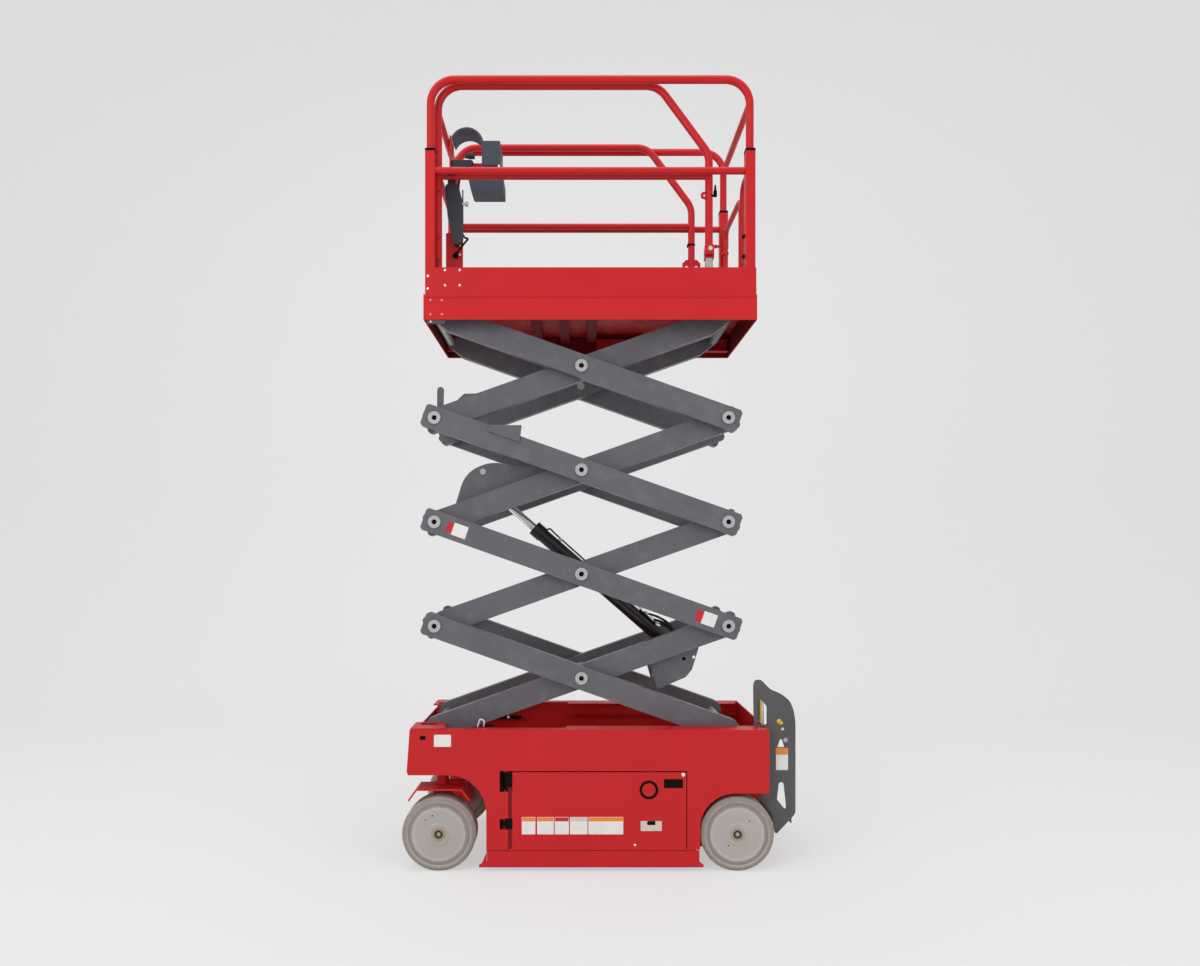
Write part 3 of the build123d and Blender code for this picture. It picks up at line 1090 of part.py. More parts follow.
def document_holder():
    """Hanging case for the manual, hooked over the near mid rail of the extension."""
    x0 = EXT_POST_X + HOLDER_OUT
    x1, top = x0 + HOLDER_L, EXT_MID_Z - HOLDER_DROP
    low = top - HOLDER_H
    face = outline((x0, top - 22), (x0 + 6, top), (x1 - 20, top), (x1, top - 72), (x1, low + 42),
                   (x1 - 20, low), (x1 - 40, low), (x0 + 14, low + 132))
    back = -EXT_RAIL_Y + CROSS_RAIL_R + EXT_GAP
    front = -EXT_RAIL_Y - CROSS_RAIL_R - EXT_GAP
    over = EXT_MID_Z + CROSS_RAIL_R + EXT_GAP
    hook0, hook1 = x0 + 14, x1 - 30
    case = side_plate(face, back, back + HOLDER_T)
    case += slab(hook0, hook1, back, back + HOOK_T, top - 12, over + HOOK_T)
    case += slab(hook0, hook1, front - HOOK_T, back + HOOK_T, over, over + HOOK_T)
    case += slab(hook0, hook1, front - HOOK_T, front, EXT_MID_Z - 6, over + HOOK_T)
    return case


# ---------------------------------------------------------------------------------------------------- output
def build():
    """Write every node."""
    os.makedirs("parts", exist_ok=True)
    near_side = chassis_side()
    place("chassis_side_left", near_side)
    place("chassis_side_right", mirrored(near_side))
    place("scissor_well", scissor_well())
    place("front_beam", front_beam())
    place("chassis_core", chassis_core())
    place("rear_box", rear_box())
    place("base_mounts", base_mounts())
    place("ladder_plates", ladder_plates())
    place("ladder_steps", ladder_steps())
    near_door, near_tray, near_guard = door(), tray(), guard()
    place("door_left", near_door)
    place("door_right", mirrored(near_door))
    place("tray_left", near_tray)
    place("tray_right", mirrored(near_tray))
    place("battery_pack", battery_pack())
    place("hydraulic_pack", hydraulic_pack())
    place("pothole_guard_left", near_guard)
    place("pothole_guard_right", mirrored(near_guard))
    near_knuckle = knuckle()
    place("knuckle_left", near_knuckle)
    place("knuckle_right", mirrored(near_knuckle))
    place("tie_rod", tie_rod())
    for end, x in (("front", FRONT_AXLE_X), ("rear", REAR_AXLE_X)):
        for hand, side in (("left", -1), ("right", 1)):
            tyre, disc = wheel_pieces(x, side)
            place(f"tyre_{end}_{hand}", tyre)
            place(f"wheel_{end}_{hand}", disc)
    for stage in range(1, STAGES + 1):
        place(f"inner_frame_{stage}", inner_frame(stage))
        place(f"outer_arms_{stage}", outer_arms(stage))
        place(f"stage_pins_{stage}", stage_pins(stage))
    place("lower_slide_blocks", slide_blocks(SLIDE_X, BASE_PIN_Z, BLOCK_ABOVE, BLOCK_BELOW))
    place("upper_slide_blocks", slide_blocks(SLIDE_X, TOP_PIN_Z, TOP_BLOCK_HALF, TOP_BLOCK_HALF))
    place("ram_lug_lower", ram_lug_lower())
    place("ram_lug_upper", ram_lug_upper())
    place("ram_barrel", ram_barrel())
    place("ram_rod", ram_rod())
    place("deck_frame", deck_frame())
    place("deck_floor", deck_floor())
    place("deck_mounts", deck_mounts())
    place("toe_boards", toe_boards())
    place("rail_posts", rail_posts())
    place("main_rails", main_rails())
    place("gate", gate())
    place("extension_deck", extension_deck())
    place("extension_rails", extension_rails())
    place("control_box", control_box())
    place("control_mount", control_mount())
    place("document_holder", document_holder())
    print(len(NAMES), "nodes")


build()
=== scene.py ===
"""Looks of a slab scissor lift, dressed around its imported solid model.

Lengths are metres and angles radians unless a name says otherwise. +X points to the ladder end, +Z up, and the
near side is -Y. Every shape is worked out with numpy and every place is measured from the solids' own boxes.
"""

import json
import logging
import math
from collections.abc import Callable
from dataclasses import dataclass
from enum import Enum

import bpy
import numpy as np
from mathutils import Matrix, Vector


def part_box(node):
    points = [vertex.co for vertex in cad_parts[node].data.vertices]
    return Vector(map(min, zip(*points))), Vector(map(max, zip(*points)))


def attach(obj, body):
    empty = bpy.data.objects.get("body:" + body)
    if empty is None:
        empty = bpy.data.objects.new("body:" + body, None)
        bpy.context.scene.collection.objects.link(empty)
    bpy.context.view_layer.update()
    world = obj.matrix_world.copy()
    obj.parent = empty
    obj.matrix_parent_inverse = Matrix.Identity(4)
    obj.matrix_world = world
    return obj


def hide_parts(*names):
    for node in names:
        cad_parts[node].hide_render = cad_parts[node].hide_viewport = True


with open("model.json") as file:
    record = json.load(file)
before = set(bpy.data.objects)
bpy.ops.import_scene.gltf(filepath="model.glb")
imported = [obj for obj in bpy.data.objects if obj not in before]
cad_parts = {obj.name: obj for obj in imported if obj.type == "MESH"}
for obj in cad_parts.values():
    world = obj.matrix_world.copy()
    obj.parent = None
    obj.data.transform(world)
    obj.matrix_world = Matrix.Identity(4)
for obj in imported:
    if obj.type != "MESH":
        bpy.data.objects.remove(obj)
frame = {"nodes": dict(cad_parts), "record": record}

log = logging.getLogger("scissor_lift")
Pair = tuple[float, float]
Point = tuple[float, float, float]
Ends = tuple[str, str, str]
Tree = bpy.types.NodeTree
Socket = bpy.types.NodeSocket
NODES: dict[str, bpy.types.Object] = frame["nodes"]
JOINTS: dict[str, dict] = {joint["name"]: joint for joint in frame["record"]["behaviour"]["joints"]}
TURN = 2.0 * math.pi
SIDES = (-1, 1)  # Near and far.
MIDDLE = (0.3, 0.7)  # Most values of a noise lie between these.
ALONG_X, ALONG_Y, ALONG_Z = (1.0, 0.0, 0.0), (0.0, 1.0, 0.0), (0.0, 0.0, 1.0)
HANDS = (("left", -1), ("right", 1))


def low(node: str) -> np.ndarray:
    """Lowest corner of a solid."""
    return np.array(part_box(node)[0])


def high(node: str) -> np.ndarray:
    """Highest corner of a solid."""
    return np.array(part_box(node)[1])


def pivot(joint: str) -> np.ndarray:
    """Place of a joint at rest."""
    return np.array(JOINTS[joint]["pos_m"], float)


# ------------------------------------------------------------------------------------------------- colours
def from_srgb(red: int, green: int, blue: int) -> tuple[float, float, float, float]:
    """Turn a display colour into the linear one that shaders take.

    Each channel is c / 12.92 below 0.04045 and ((c + 0.055) / 1.055) ** 2.4 above it.

    Args:
        red: 0 to 255.
        green: 0 to 255.
        blue: 0 to 255.

    Returns:
        Linear red, green and blue with full cover.
    """
    channel = np.array([red, green, blue]) / 255.0
    linear = np.where(channel <= 0.04045, channel / 12.92, ((channel + 0.055) / 1.055) ** 2.4)
    return (float(linear[0]), float(linear[1]), float(linear[2]), 1.0)


class Tone(Enum):
    """Named colours of the machine and its set."""

    MACHINE_RED = from_srgb(192, 27, 32)
    TRAY_RED = from_srgb(150, 24, 26)
    UNDER_RED = from_srgb(176, 28, 34)
    ARM_GREY = from_srgb(97, 96, 102)
    LADDER_GREY = from_srgb(84, 83, 85)
    COLLAR_GREY = from_srgb(176, 177, 178)
    TYRE_STONE = from_srgb(168, 160, 153)
    TYRE_DARK = from_srgb(146, 137, 130)
    BEAD_DARK = from_srgb(140, 132, 126)
    DISC_STONE = from_srgb(172, 166, 161)
    # Painted highlight ring near a disc wheel's rim.
    DISC_RIM_HIGHLIGHT = from_srgb(182, 177, 174)
    GREASE = from_srgb(150, 130, 96)
    RAM_BLACK = from_srgb(22, 22, 24)
    ROD_SILVER = from_srgb(225, 226, 228)
    STEEL = from_srgb(168, 168, 166)
    BRIGHT_ZINC = from_srgb(236, 235, 230)
    DARK_IRON = from_srgb(70, 62, 56)
    HOLE_BLACK = from_srgb(12, 11, 11)
    FLOOR_GREY = from_srgb(142, 144, 146)
    BOX_BLUE_GREY = from_srgb(66, 72, 84)
    CASE_BLACK = from_srgb(44, 47, 52)
    HOSE_BLACK = from_srgb(28, 28, 30)
    BLOCK_BLACK = from_srgb(38, 38, 40)
    LABEL_WHITE = from_srgb(226, 224, 222)
    LABEL_ORANGE = from_srgb(226, 132, 52)
    LABEL_RED = from_srgb(196, 34, 44)
    LABEL_YELLOW = from_srgb(214, 190, 40)
    LATCH_BEIGE = from_srgb(208, 202, 186)
    SKIRT_RED = from_srgb(197, 39, 41)
    SHADE_RED = from_srgb(112, 18, 22)
    SET_WHITE = from_srgb(235, 235, 235)


# ------------------------------------------------------------------------------------------------ shader nodes
def node(tree: Tree, kind: str, output: str, inputs: dict[object, object], **settings: object) -> Socket:
    """Add a shader node.

    Args:
        tree: where it goes.
        kind: its type, without the prefix that all of them share.
        output: name of the output that is wanted.
        inputs: a socket to link or a plain value for each input, by name or number.
        settings: the node's own properties.

    Returns:
        That output.
    """
    made = tree.nodes.new(f"ShaderNode{kind}")
    for name, value in settings.items():
        setattr(made, name, value)
    for name, value in inputs.items():
        feed(tree, made.inputs[name], value)
    return made.outputs[output]


def feed(tree: Tree, socket: Socket, value: object) -> None:
    """Link an input to another node's socket, or set it to a plain value."""
    if isinstance(value, Socket):
        tree.links.new(value, socket)
    else:
        socket.default_value = value


def noise(tree: Tree, place: Socket, size: float, detail: float = 3.0) -> Socket:
    """Noise whose features are about size metres across."""
    return node(tree, "TexNoise", "Fac", {"Vector": place, "Scale": 1.0 / size, "Detail": detail, "Roughness": 0.55})


def spread(tree: Tree, value: Socket, start: float, end: float, to_start: float, to_end: float) -> Socket:
    """Map a value from one range to another, held at its ends."""
    return node(tree, "MapRange", "Result", {"Value": value, "From Min": start, "From Max": end,
                                             "To Min": to_start, "To Max": to_end})


def step_at(tree: Tree, value: Socket, limit: float) -> Socket:
    """Share that turns from 0 to 1 within a millimetre about a limit."""
    return spread(tree, value, limit - 0.0005, limit + 0.0005, 0.0, 1.0)


def mixed(tree: Tree, share: Socket, first: object, second: object) -> Socket:
    """Blend two colours, each a socket or a colour, by a share."""
    return node(tree, "Mix", "Result", {"Factor": share, "A": first, "B": second}, data_type="RGBA")


def arithmetic(tree: Tree, step: str, first: object, second: object = 0.0) -> Socket:
    """One sum, product or other step of arithmetic on sockets or numbers."""
    return node(tree, "Math", "Value", {0: first, 1: second}, operation=step)


def softened(tree: Tree, radius: float) -> Socket:
    """Normal of the surface as if its edges had a radius."""
    return node(tree, "Bevel", "Normal", {"Radius": radius}, samples=4)


# ------------------------------------------------------------------------------------------------ finishes
@dataclass(frozen=True)
class Finish:
    """A surface finish made of shader nodes on Object coordinates.

    Attributes:
        name: material name.
        tone: base colour.
        slot: the record's material slot that it belongs to.
        roughness: middle roughness.
        metallic: 0 for paint, rubber and plastic, 1 for bare metal.
        specular: strength of the surface's own gloss.
        coat: strength of a clear top coat.
        cloud: size of the soft colour drift, in metres.
        drift: how far the drift darkens or lightens the colour.
        grain: size of the fine surface grain, in metres.
        grain_depth: height of the grain, in metres.
        edge: radius that edges read as, in metres, 0 for none.
        edge_highlight: share of painted highlight, a lighter colour along the edges.
        grime: share of dust or dirt in the hollows of the drift.
    """

    name: str
    tone: Tone
    slot: str
    roughness: float = 0.4
    metallic: float = 0.0
    specular: float = 0.3
    coat: float = 0.0
    cloud: float = 0.25
    drift: float = 0.05
    grain: float = 0.004
    grain_depth: float = 0.00006
    edge: float = 0.0015
    edge_highlight: float = 0.0
    grime: float = 0.0

    def build(self) -> bpy.types.Material:
        """Make the material, or return the one already made under this name."""
        made = bpy.data.materials.get(self.name)
        if made is not None:
            return made
        material = bpy.data.materials.new(self.name)
        material.use_nodes = True
        tree = material.node_tree
        place = tree.nodes.new("ShaderNodeTexCoord").outputs["Object"]
        looks = {"Base Color": self._colour(tree, place), "Metallic": self.metallic,
                 "Roughness": self._roughness(tree, place), "Specular IOR Level": self.specular,
                 "Coat Weight": self.coat, "Coat Roughness": 0.12, "Normal": self._relief(tree, place)}
        for name, value in looks.items():
            feed(tree, tree.nodes["Principled BSDF"].inputs[name], value)
        return material

    def ringed(self, solid: str, centre: Point, bands: tuple[tuple[float, Tone], ...]) -> "RingedFinish":
        """This finish with colour bands about an axis, under a name of its own for one solid."""
        values = {key: value for key, value in self.__dict__.items() if key != "name"}
        return RingedFinish(f"{self.name}_{solid}", centre=centre, bands=bands, **values)

    def _base(self, _tree: Tree, _place: Socket) -> object:
        """The colour before it drifts: here the plain tone."""
        return self.tone.value

    def _colour(self, tree: Tree, place: Socket) -> Socket:
        """Base colour a little lighter and darker from place to place, with dirt over it and a painted highlight along
        the edges.
        """
        cloud = spread(tree, noise(tree, place, self.cloud), *MIDDLE, 1 - self.drift, 1 + self.drift)
        colour = node(tree, "HueSaturation", "Color", {"Color": self._base(tree, place), "Value": cloud})
        if self.grime > 0:
            spots = spread(tree, noise(tree, place, self.cloud / 4, 8.0), 0.5, 0.78, 0.0, self.grime)
            colour = mixed(tree, spots, colour, Tone.STEEL.value)
        # Painted highlight: the edges blend towards a paler copy of the tone.
        if self.edge_highlight > 0:
            light = tuple(min(1.0, 1.9 * c + 0.10) for c in self.tone.value[:3]) + (1.0,)
            colour = mixed(tree, self._edges(tree, place), colour, light)
        return colour

    def _edges(self, tree: Tree, place: Socket) -> Socket:
        """Share of painted highlight on the edges: where the softened normal leaves the true one, broken up by noise.
        """
        true = tree.nodes.new("ShaderNodeNewGeometry").outputs["True Normal"]
        near = node(tree, "VectorMath", "Value", {0: true, 1: softened(tree, 1.6 * self.edge)},
                    operation="DOT_PRODUCT")
        # Painted highlight, full where the softened normal turns far from the true one.
        bare = spread(tree, near, 0.97, 0.78, 0.0, self.edge_highlight)
        patchiness = spread(tree, noise(tree, place, 0.05, 4.0), 0.35, 0.6, 0.35, 1.0)
        return arithmetic(tree, "MULTIPLY", bare, patchiness)

    def _roughness(self, tree: Tree, place: Socket) -> Socket:
        """Roughness that varies a little about its middle."""
        return spread(tree, noise(tree, place, self.cloud / 3, 5.0), *MIDDLE,
                      max(self.roughness - 0.06, 0.02), min(self.roughness + 0.08, 1.0))

    def _height(self, tree: Tree, place: Socket) -> Socket:
        """Height of the surface grain, 0 to 1."""
        return noise(tree, place, self.grain, 2.0)

    def _relief(self, tree: Tree, place: Socket) -> Socket:
        """Fine grain as a bump over softened edges."""
        inputs = {"Distance": self.grain_depth, "Strength": 1.0, "Height": self._height(tree, place)}
        if self.edge > 0:
            inputs["Normal"] = softened(tree, self.edge)
        return node(tree, "Bump", "Normal", inputs)


@dataclass(frozen=True)
class RingedFinish(Finish):
    """A finish whose colour follows the distance from an axis along Y.

    Attributes:
        centre: a point on the axis.
        bands: pairs of a radius in metres and the colour there.
    """

    centre: Point = (0.0, 0.0, 0.0)
    bands: tuple[tuple[float, Tone], ...] = ()

    def _base(self, tree: Tree, place: Socket) -> object:
        """Colour bands by radius: the length of the point's X and Z from the axis, read off a ramp."""
        reach = 0.2
        flat = node(tree, "Mapping", "Vector", {"Location": (-self.centre[0], 0.0, -self.centre[2]),
                                                "Scale": (1.0, 0.0, 1.0), "Vector": place})
        radius = node(tree, "VectorMath", "Value", {0: flat}, operation="LENGTH")
        smear = spread(tree, noise(tree, place, 0.03), *MIDDLE, -0.002, 0.002)
        share = spread(tree, arithmetic(tree, "ADD", radius, smear), 0.0, reach, 0.0, 1.0)
        ramp = tree.nodes.new("ShaderNodeValToRGB")
        stops = ramp.color_ramp.elements
        while len(stops) < len(self.bands):
            stops.new(1.0)
        for stop, (distance, tone) in zip(stops, self.bands):
            stop.position = distance / reach
            stop.color = tone.value
        tree.links.new(share, ramp.inputs["Fac"])
        return ramp.outputs["Color"]


@dataclass(frozen=True)
class DeckFinish(Finish):
    """Tread plate above and red paint below.

    Attributes:
        split: height in metres under which the paint shows.
        cells: cells of the tread in a metre, along and across a bar.
        rim: distances from a cell's middle between which its bar falls off.
    """

    split: float = 0.0
    cells: Pair = (18.0, 48.0)
    rim: Pair = (0.22, 0.34)

    def _above(self, tree: Tree, place: Socket) -> Socket:
        """Share of tread plate: 1 above the split height."""
        return step_at(tree, node(tree, "SeparateXYZ", "Z", {"Vector": place}), self.split)

    def _base(self, tree: Tree, place: Socket) -> object:
        """Plate tone above the split height and dark red below it."""
        return mixed(tree, self._above(tree, place), Tone.UNDER_RED.value, self.tone.value)

    def _height(self, tree: Tree, place: Socket) -> Socket:
        """Lozenges that lean both ways: two regular cell patterns, stretched and turned, the higher one kept."""
        bars = []
        for turn, slide in ((0.25 * math.pi, 0.0), (-0.25 * math.pi, 0.5)):
            lean = node(tree, "Mapping", "Vector", {"Rotation": (0.0, 0.0, turn), "Scale": (*self.cells, 0.0),
                                                    "Location": (slide, slide, 0.0), "Vector": place})
            cells = node(tree, "TexVoronoi", "Distance", {"Scale": 1.0, "Randomness": 0.0, "Vector": lean})
            bars.append(spread(tree, cells, *self.rim, 1.0, 0.0))
        return arithmetic(tree, "MULTIPLY", arithmetic(tree, "MAXIMUM", *bars), self._above(tree, place))


@dataclass(frozen=True)
class SkirtFinish(Finish):
    """Paint of the deck's frame, with painted shade in dark red on the ribs inside its skirts.

    Attributes:
        middle: X of the frame's middle.
        reach: half its length and half its width, to the inner faces of the skirts.
    """

    middle: float = 0.0
    reach: Pair = (0.0, 0.0)

    def _base(self, tree: Tree, place: Socket) -> object:
        """Paint tone outside the reach and painted shade in dark red within it."""
        centred = node(tree, "Mapping", "Vector", {"Location": (-self.middle, 0.0, 0.0), "Vector": place})
        beyond = [arithmetic(tree, "SUBTRACT", arithmetic(tree, "ABSOLUTE", node(
            tree, "SeparateXYZ", axis, {"Vector": centred})), half) for axis, half in zip("XY", self.reach)]
        share = step_at(tree, arithmetic(tree, "MAXIMUM", *beyond), 0.0)
        return mixed(tree, share, Tone.SHADE_RED.value, self.tone.value)


@dataclass(frozen=True)
class PaperFinish(Finish):
    """Backdrop paper: plain diffuse for the object's light, part of it shining by itself to the eye.

    Attributes:
        glow: share that the camera, glossy and see-through rays take as even light.
    """

    glow: float = 0.6

    def build(self) -> bpy.types.Material:
        """Blend a diffuse paper with an even one, by the kind of ray."""
        material = bpy.data.materials.new(self.name)
        material.use_nodes = True
        tree = material.node_tree
        tree.nodes.clear()
        ray = tree.nodes.new("ShaderNodeLightPath").outputs
        seen = arithmetic(tree, "ADD", ray["Is Camera Ray"], ray["Is Glossy Ray"])
        seen = arithmetic(tree, "ADD", seen, ray["Is Transmission Ray"])
        share = arithmetic(tree, "MULTIPLY", arithmetic(tree, "MINIMUM", seen, 1.0), self.glow)
        paper = node(tree, "BsdfDiffuse", "BSDF", {"Color": self.tone.value})
        even = node(tree, "Emission", "Emission", {"Color": self.tone.value})
        blend = node(tree, "MixShader", "Shader", {"Fac": share, 1: paper, 2: even})
        tree.links.new(blend, tree.nodes.new("ShaderNodeOutputMaterial").inputs["Surface"])
        return material


class Finishes(Enum):
    """Every finish on the machine."""

    RED = Finish("red_powder_coat", Tone.MACHINE_RED, "red_paint", roughness=0.40, specular=0.26, drift=0.035,
                 edge_highlight=0.22)
    TRAY = Finish("red_tray_coat", Tone.TRAY_RED, "deck_red", roughness=0.5)
    ARM = Finish("arm_grey_coat", Tone.ARM_GREY, "grey_paint", roughness=0.44, drift=0.06, grain=0.003,
                 edge_highlight=0.85, grime=0.10)
    LADDER = Finish("ladder_grey_coat", Tone.LADDER_GREY, "dark_plate", roughness=0.46, drift=0.08, edge_highlight=0.2)
    COLLAR = Finish("collar_zinc", Tone.COLLAR_GREY, "steel", roughness=0.4, metallic=0.35, edge_highlight=0.3, edge=0.002)
    TYRE = Finish("tyre_stone_rubber", Tone.TYRE_STONE, "tyre", roughness=0.78, grain=0.0025,
                  grain_depth=0.0002, grime=0.2, edge=0.003)
    DISC = Finish("disc_stone_paint", Tone.DISC_STONE, "wheel_paint", roughness=0.5, grime=0.15, edge=0.003)
    RAM = Finish("ram_black_paint", Tone.RAM_BLACK, "black_paint", roughness=0.28, coat=0.3)
    ROD = Finish("rod_hard_chrome", Tone.ROD_SILVER, "chrome_rod", roughness=0.14, metallic=1.0, drift=0.02,
                 grain_depth=0.00001)
    STEEL = Finish("bare_steel", Tone.STEEL, "steel", roughness=0.34, metallic=0.9, drift=0.12)
    BRIGHT = Finish("bright_zinc", Tone.BRIGHT_ZINC, "steel", roughness=0.3, metallic=0.3, specular=0.6, edge=0.0)
    IRON = Finish("dark_iron", Tone.DARK_IRON, "black_paint", roughness=0.5, metallic=0.5)
    # Black for dark parts, and painted shade where it stands in for holes, recesses and openings.
    HOLE = Finish("hole_black", Tone.HOLE_BLACK, "black_paint", roughness=0.8, specular=0.1, edge=0.0)
    FLOOR = DeckFinish("deck_tread_plate", Tone.FLOOR_GREY, "floor_plate", roughness=0.5, metallic=0.15,
                       grime=0.2, grain_depth=0.0012, edge=0.0, split=float(high("deck_floor")[2]) - 0.003)
    SHADE = Finish("shaded_red", Tone.SHADE_RED, "deck_red", roughness=0.7, specular=0.2, edge=0.0)
    # The deck frame's paint, with painted shade on the ribs under the deck.
    SKIRT = SkirtFinish("red_skirt_coat", Tone.SKIRT_RED, "red_paint", roughness=0.6, specular=0.12, drift=0.035,
                        edge_highlight=0.2, middle=float(low("deck_frame")[0] + high("deck_frame")[0]) / 2,
                        reach=(float(high("deck_frame")[0] - low("deck_frame")[0]) / 2 - 0.0045,
                               float(high("deck_frame")[1]) - 0.0045))
    BOX = Finish("box_blue_grey", Tone.BOX_BLUE_GREY, "blue_grey", roughness=0.5, grain=0.0015, edge_highlight=0.2)
    CASE = Finish("case_black_plastic", Tone.CASE_BLACK, "dark_plastic", roughness=0.48, grain=0.0015, edge_highlight=0.2)
    HOSE = Finish("hose_black_rubber", Tone.HOSE_BLACK, "black_paint", roughness=0.55, grain=0.002)
    BLOCK = Finish("block_black_nylon", Tone.BLOCK_BLACK, "block_plastic", roughness=0.6)
    WHITE_LABEL = Finish("label_white", Tone.LABEL_WHITE, "wheel_paint", roughness=0.45, drift=0.04, edge=0.0,
                         cloud=0.03, grime=0.12)
    ORANGE_LABEL = Finish("label_orange", Tone.LABEL_ORANGE, "wheel_paint", roughness=0.45, drift=0.05, edge=0.0,
                          cloud=0.03)
    RED_LABEL = Finish("label_red", Tone.LABEL_RED, "red_paint", roughness=0.45, drift=0.05, edge=0.0)
    YELLOW_LABEL = Finish("label_yellow", Tone.LABEL_YELLOW, "wheel_paint", roughness=0.45, drift=0.05, edge=0.0)
    LATCH = Finish("latch_beige", Tone.LATCH_BEIGE, "steel", roughness=0.35, metallic=0.3)
    SET = PaperFinish("set_paper", Tone.SET_WHITE, "")


SLOT_FINISH: dict[str, Finishes] = {
    "red_paint": Finishes.RED,
    "deck_red": Finishes.TRAY,
    "grey_paint": Finishes.ARM,
    "dark_plate": Finishes.LADDER,
    "steel": Finishes.COLLAR,
    "chrome_rod": Finishes.ROD,
    "tyre": Finishes.TYRE,
    "wheel_paint": Finishes.DISC,
    "black_paint": Finishes.RAM,
    "blue_grey": Finishes.BOX,
    "dark_plastic": Finishes.CASE,
    "block_plastic": Finishes.BLOCK,
    "floor_plate": Finishes.FLOOR,
}


@dataclass
class SolidDresser:
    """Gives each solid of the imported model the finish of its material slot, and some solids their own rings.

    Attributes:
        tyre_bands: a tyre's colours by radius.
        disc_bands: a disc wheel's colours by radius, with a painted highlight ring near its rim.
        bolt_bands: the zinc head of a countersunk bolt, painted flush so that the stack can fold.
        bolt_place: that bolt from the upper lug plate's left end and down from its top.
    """

    tyre_bands: tuple[tuple[float, Tone], ...] = (
        (0.128, Tone.BEAD_DARK), (0.138, Tone.TYRE_STONE), (0.152, Tone.TYRE_STONE), (0.160, Tone.TYRE_DARK),
        (0.172, Tone.TYRE_DARK), (0.178, Tone.TYRE_STONE))
    # The pale band just inside the disc's rim is a painted highlight.
    disc_bands: tuple[tuple[float, Tone], ...] = (
        (0.0, Tone.GREASE), (0.018, Tone.GREASE), (0.045, Tone.DISC_STONE), (0.110, Tone.DISC_STONE),
        (0.126, Tone.DISC_RIM_HIGHLIGHT), (0.133, Tone.BEAD_DARK))
    bolt_bands: tuple[tuple[float, Tone], ...] = (
        (0.0, Tone.COLLAR_GREY), (0.0145, Tone.COLLAR_GREY), (0.0155, Tone.DARK_IRON), (0.0165, Tone.DARK_IRON),
        (0.0175, Tone.ARM_GREY))
    bolt_place: Pair = (0.145, 0.044)

    def dress(self) -> None:
        """Replace the plain material of every solid."""
        for part in frame["record"]["subparts"]:
            name = part["node"]
            solid = NODES[name]
            solid.data.materials.clear()
            solid.data.materials.append(self.finish(name, SLOT_FINISH[part["material_slot"]].value).build())
            log.info("%s wears %s", name, solid.data.materials[0].name)

    def finish(self, name: str, plain: Finish) -> Finish:
        """The finish of a solid.

        Args:
            name: the solid.
            plain: the finish of its slot.

        Returns:
            The plain finish, or one with the solid's own colours.
        """
        if name.startswith(("tyre_", "wheel_")):
            middle = tuple(map(float, (low(name) + high(name)) / 2))
            return plain.ringed(name, middle, self.tyre_bands if name.startswith("tyre_") else self.disc_bands)
        if name == "ram_lug_upper":
            along, down = self.bolt_place
            return plain.ringed(name, (float(low(name)[0]) + along, 0.0, float(high(name)[2]) - down), self.bolt_bands)
        return Finishes.SKIRT.value if name == "deck_frame" else plain


# ------------------------------------------------------------------------------------------------- shapes
@dataclass(frozen=True)
class Shape:
    """A closed surface.

    Attributes:
        points: one row of X, Y and Z for each point.
        faces: the point numbers round each face, seen from outside.
    """

    points: np.ndarray
    faces: list[tuple[int, ...]]

    @staticmethod
    def merged(*shapes: "Shape") -> "Shape":
        """Several shapes as one: their points stacked, their faces counted on."""
        starts = np.cumsum([0] + [len(shape.points) for shape in shapes[:-1]])
        faces = [tuple(index + int(start) for index in face)
                 for start, shape in zip(starts, shapes) for face in shape.faces]
        return Shape(np.concatenate([shape.points for shape in shapes]), faces)


@dataclass(frozen=True)
class Seat:
    """Local axes in which a piece is drawn.

    Attributes:
        origin: where the seat is.
        across: first axis on the face.
        up: second axis on the face. Out of the face is across x up.
    """

    origin: Point
    across: Point
    up: Point

    def place(self, a: np.ndarray, b: np.ndarray, c: np.ndarray) -> np.ndarray:
        """Turn local numbers into points: origin + a across + b up + c out."""
        across, up = np.array(self.across, float), np.array(self.up, float)
        out = np.cross(across, up)
        return (np.array(self.origin, float) + np.multiply.outer(a, across) + np.multiply.outer(b, up)
                + np.multiply.outer(c, out))


def side_seat(x: float, y: float, z: float, tilt: float = 0.0) -> Seat:
    """Seat on a face towards the near or far side, turned by a tilt that lifts its +X end.

    Args:
        x: place along the machine.
        y: place across it, whose sign says which side the face looks to.
        z: height.
        tilt: angle of the seat's across axis above the level.

    Returns:
        The seat, with its outward axis away from the middle.
    """
    side = -1.0 if y < 0 else 1.0
    across = (-side * math.cos(tilt), 0.0, -side * math.sin(tilt))
    up = (-math.sin(tilt), 0.0, math.cos(tilt))
    return Seat((x, y, z), across, up)


def near_seat(x: float, y: float, z: float) -> Seat:
    """Seat on a face that looks to -Y, on either side of the machine."""
    return Seat((x, y, z), ALONG_X, ALONG_Z)


def left_seat(x: float, y: float, z: float) -> Seat:
    """Seat on a face that looks to -X."""
    return Seat((x, y, z), ALONG_Z, ALONG_Y)


def right_seat(x: float, y: float, z: float) -> Seat:
    """Seat on a face that looks to +X."""
    return Seat((x, y, z), ALONG_Y, ALONG_Z)


def top_seat(x: float, y: float, z: float) -> Seat:
    """Seat on a face that looks up."""
    return Seat((x, y, z), ALONG_X, ALONG_Y)


def circle(radius: float, count: int = 32) -> np.ndarray:
    """Points on a circle: radius times cosine and sine of even steps of a turn."""
    turn = np.arange(count) * TURN / count
    return radius * np.stack([np.cos(turn), np.sin(turn)], axis=1)


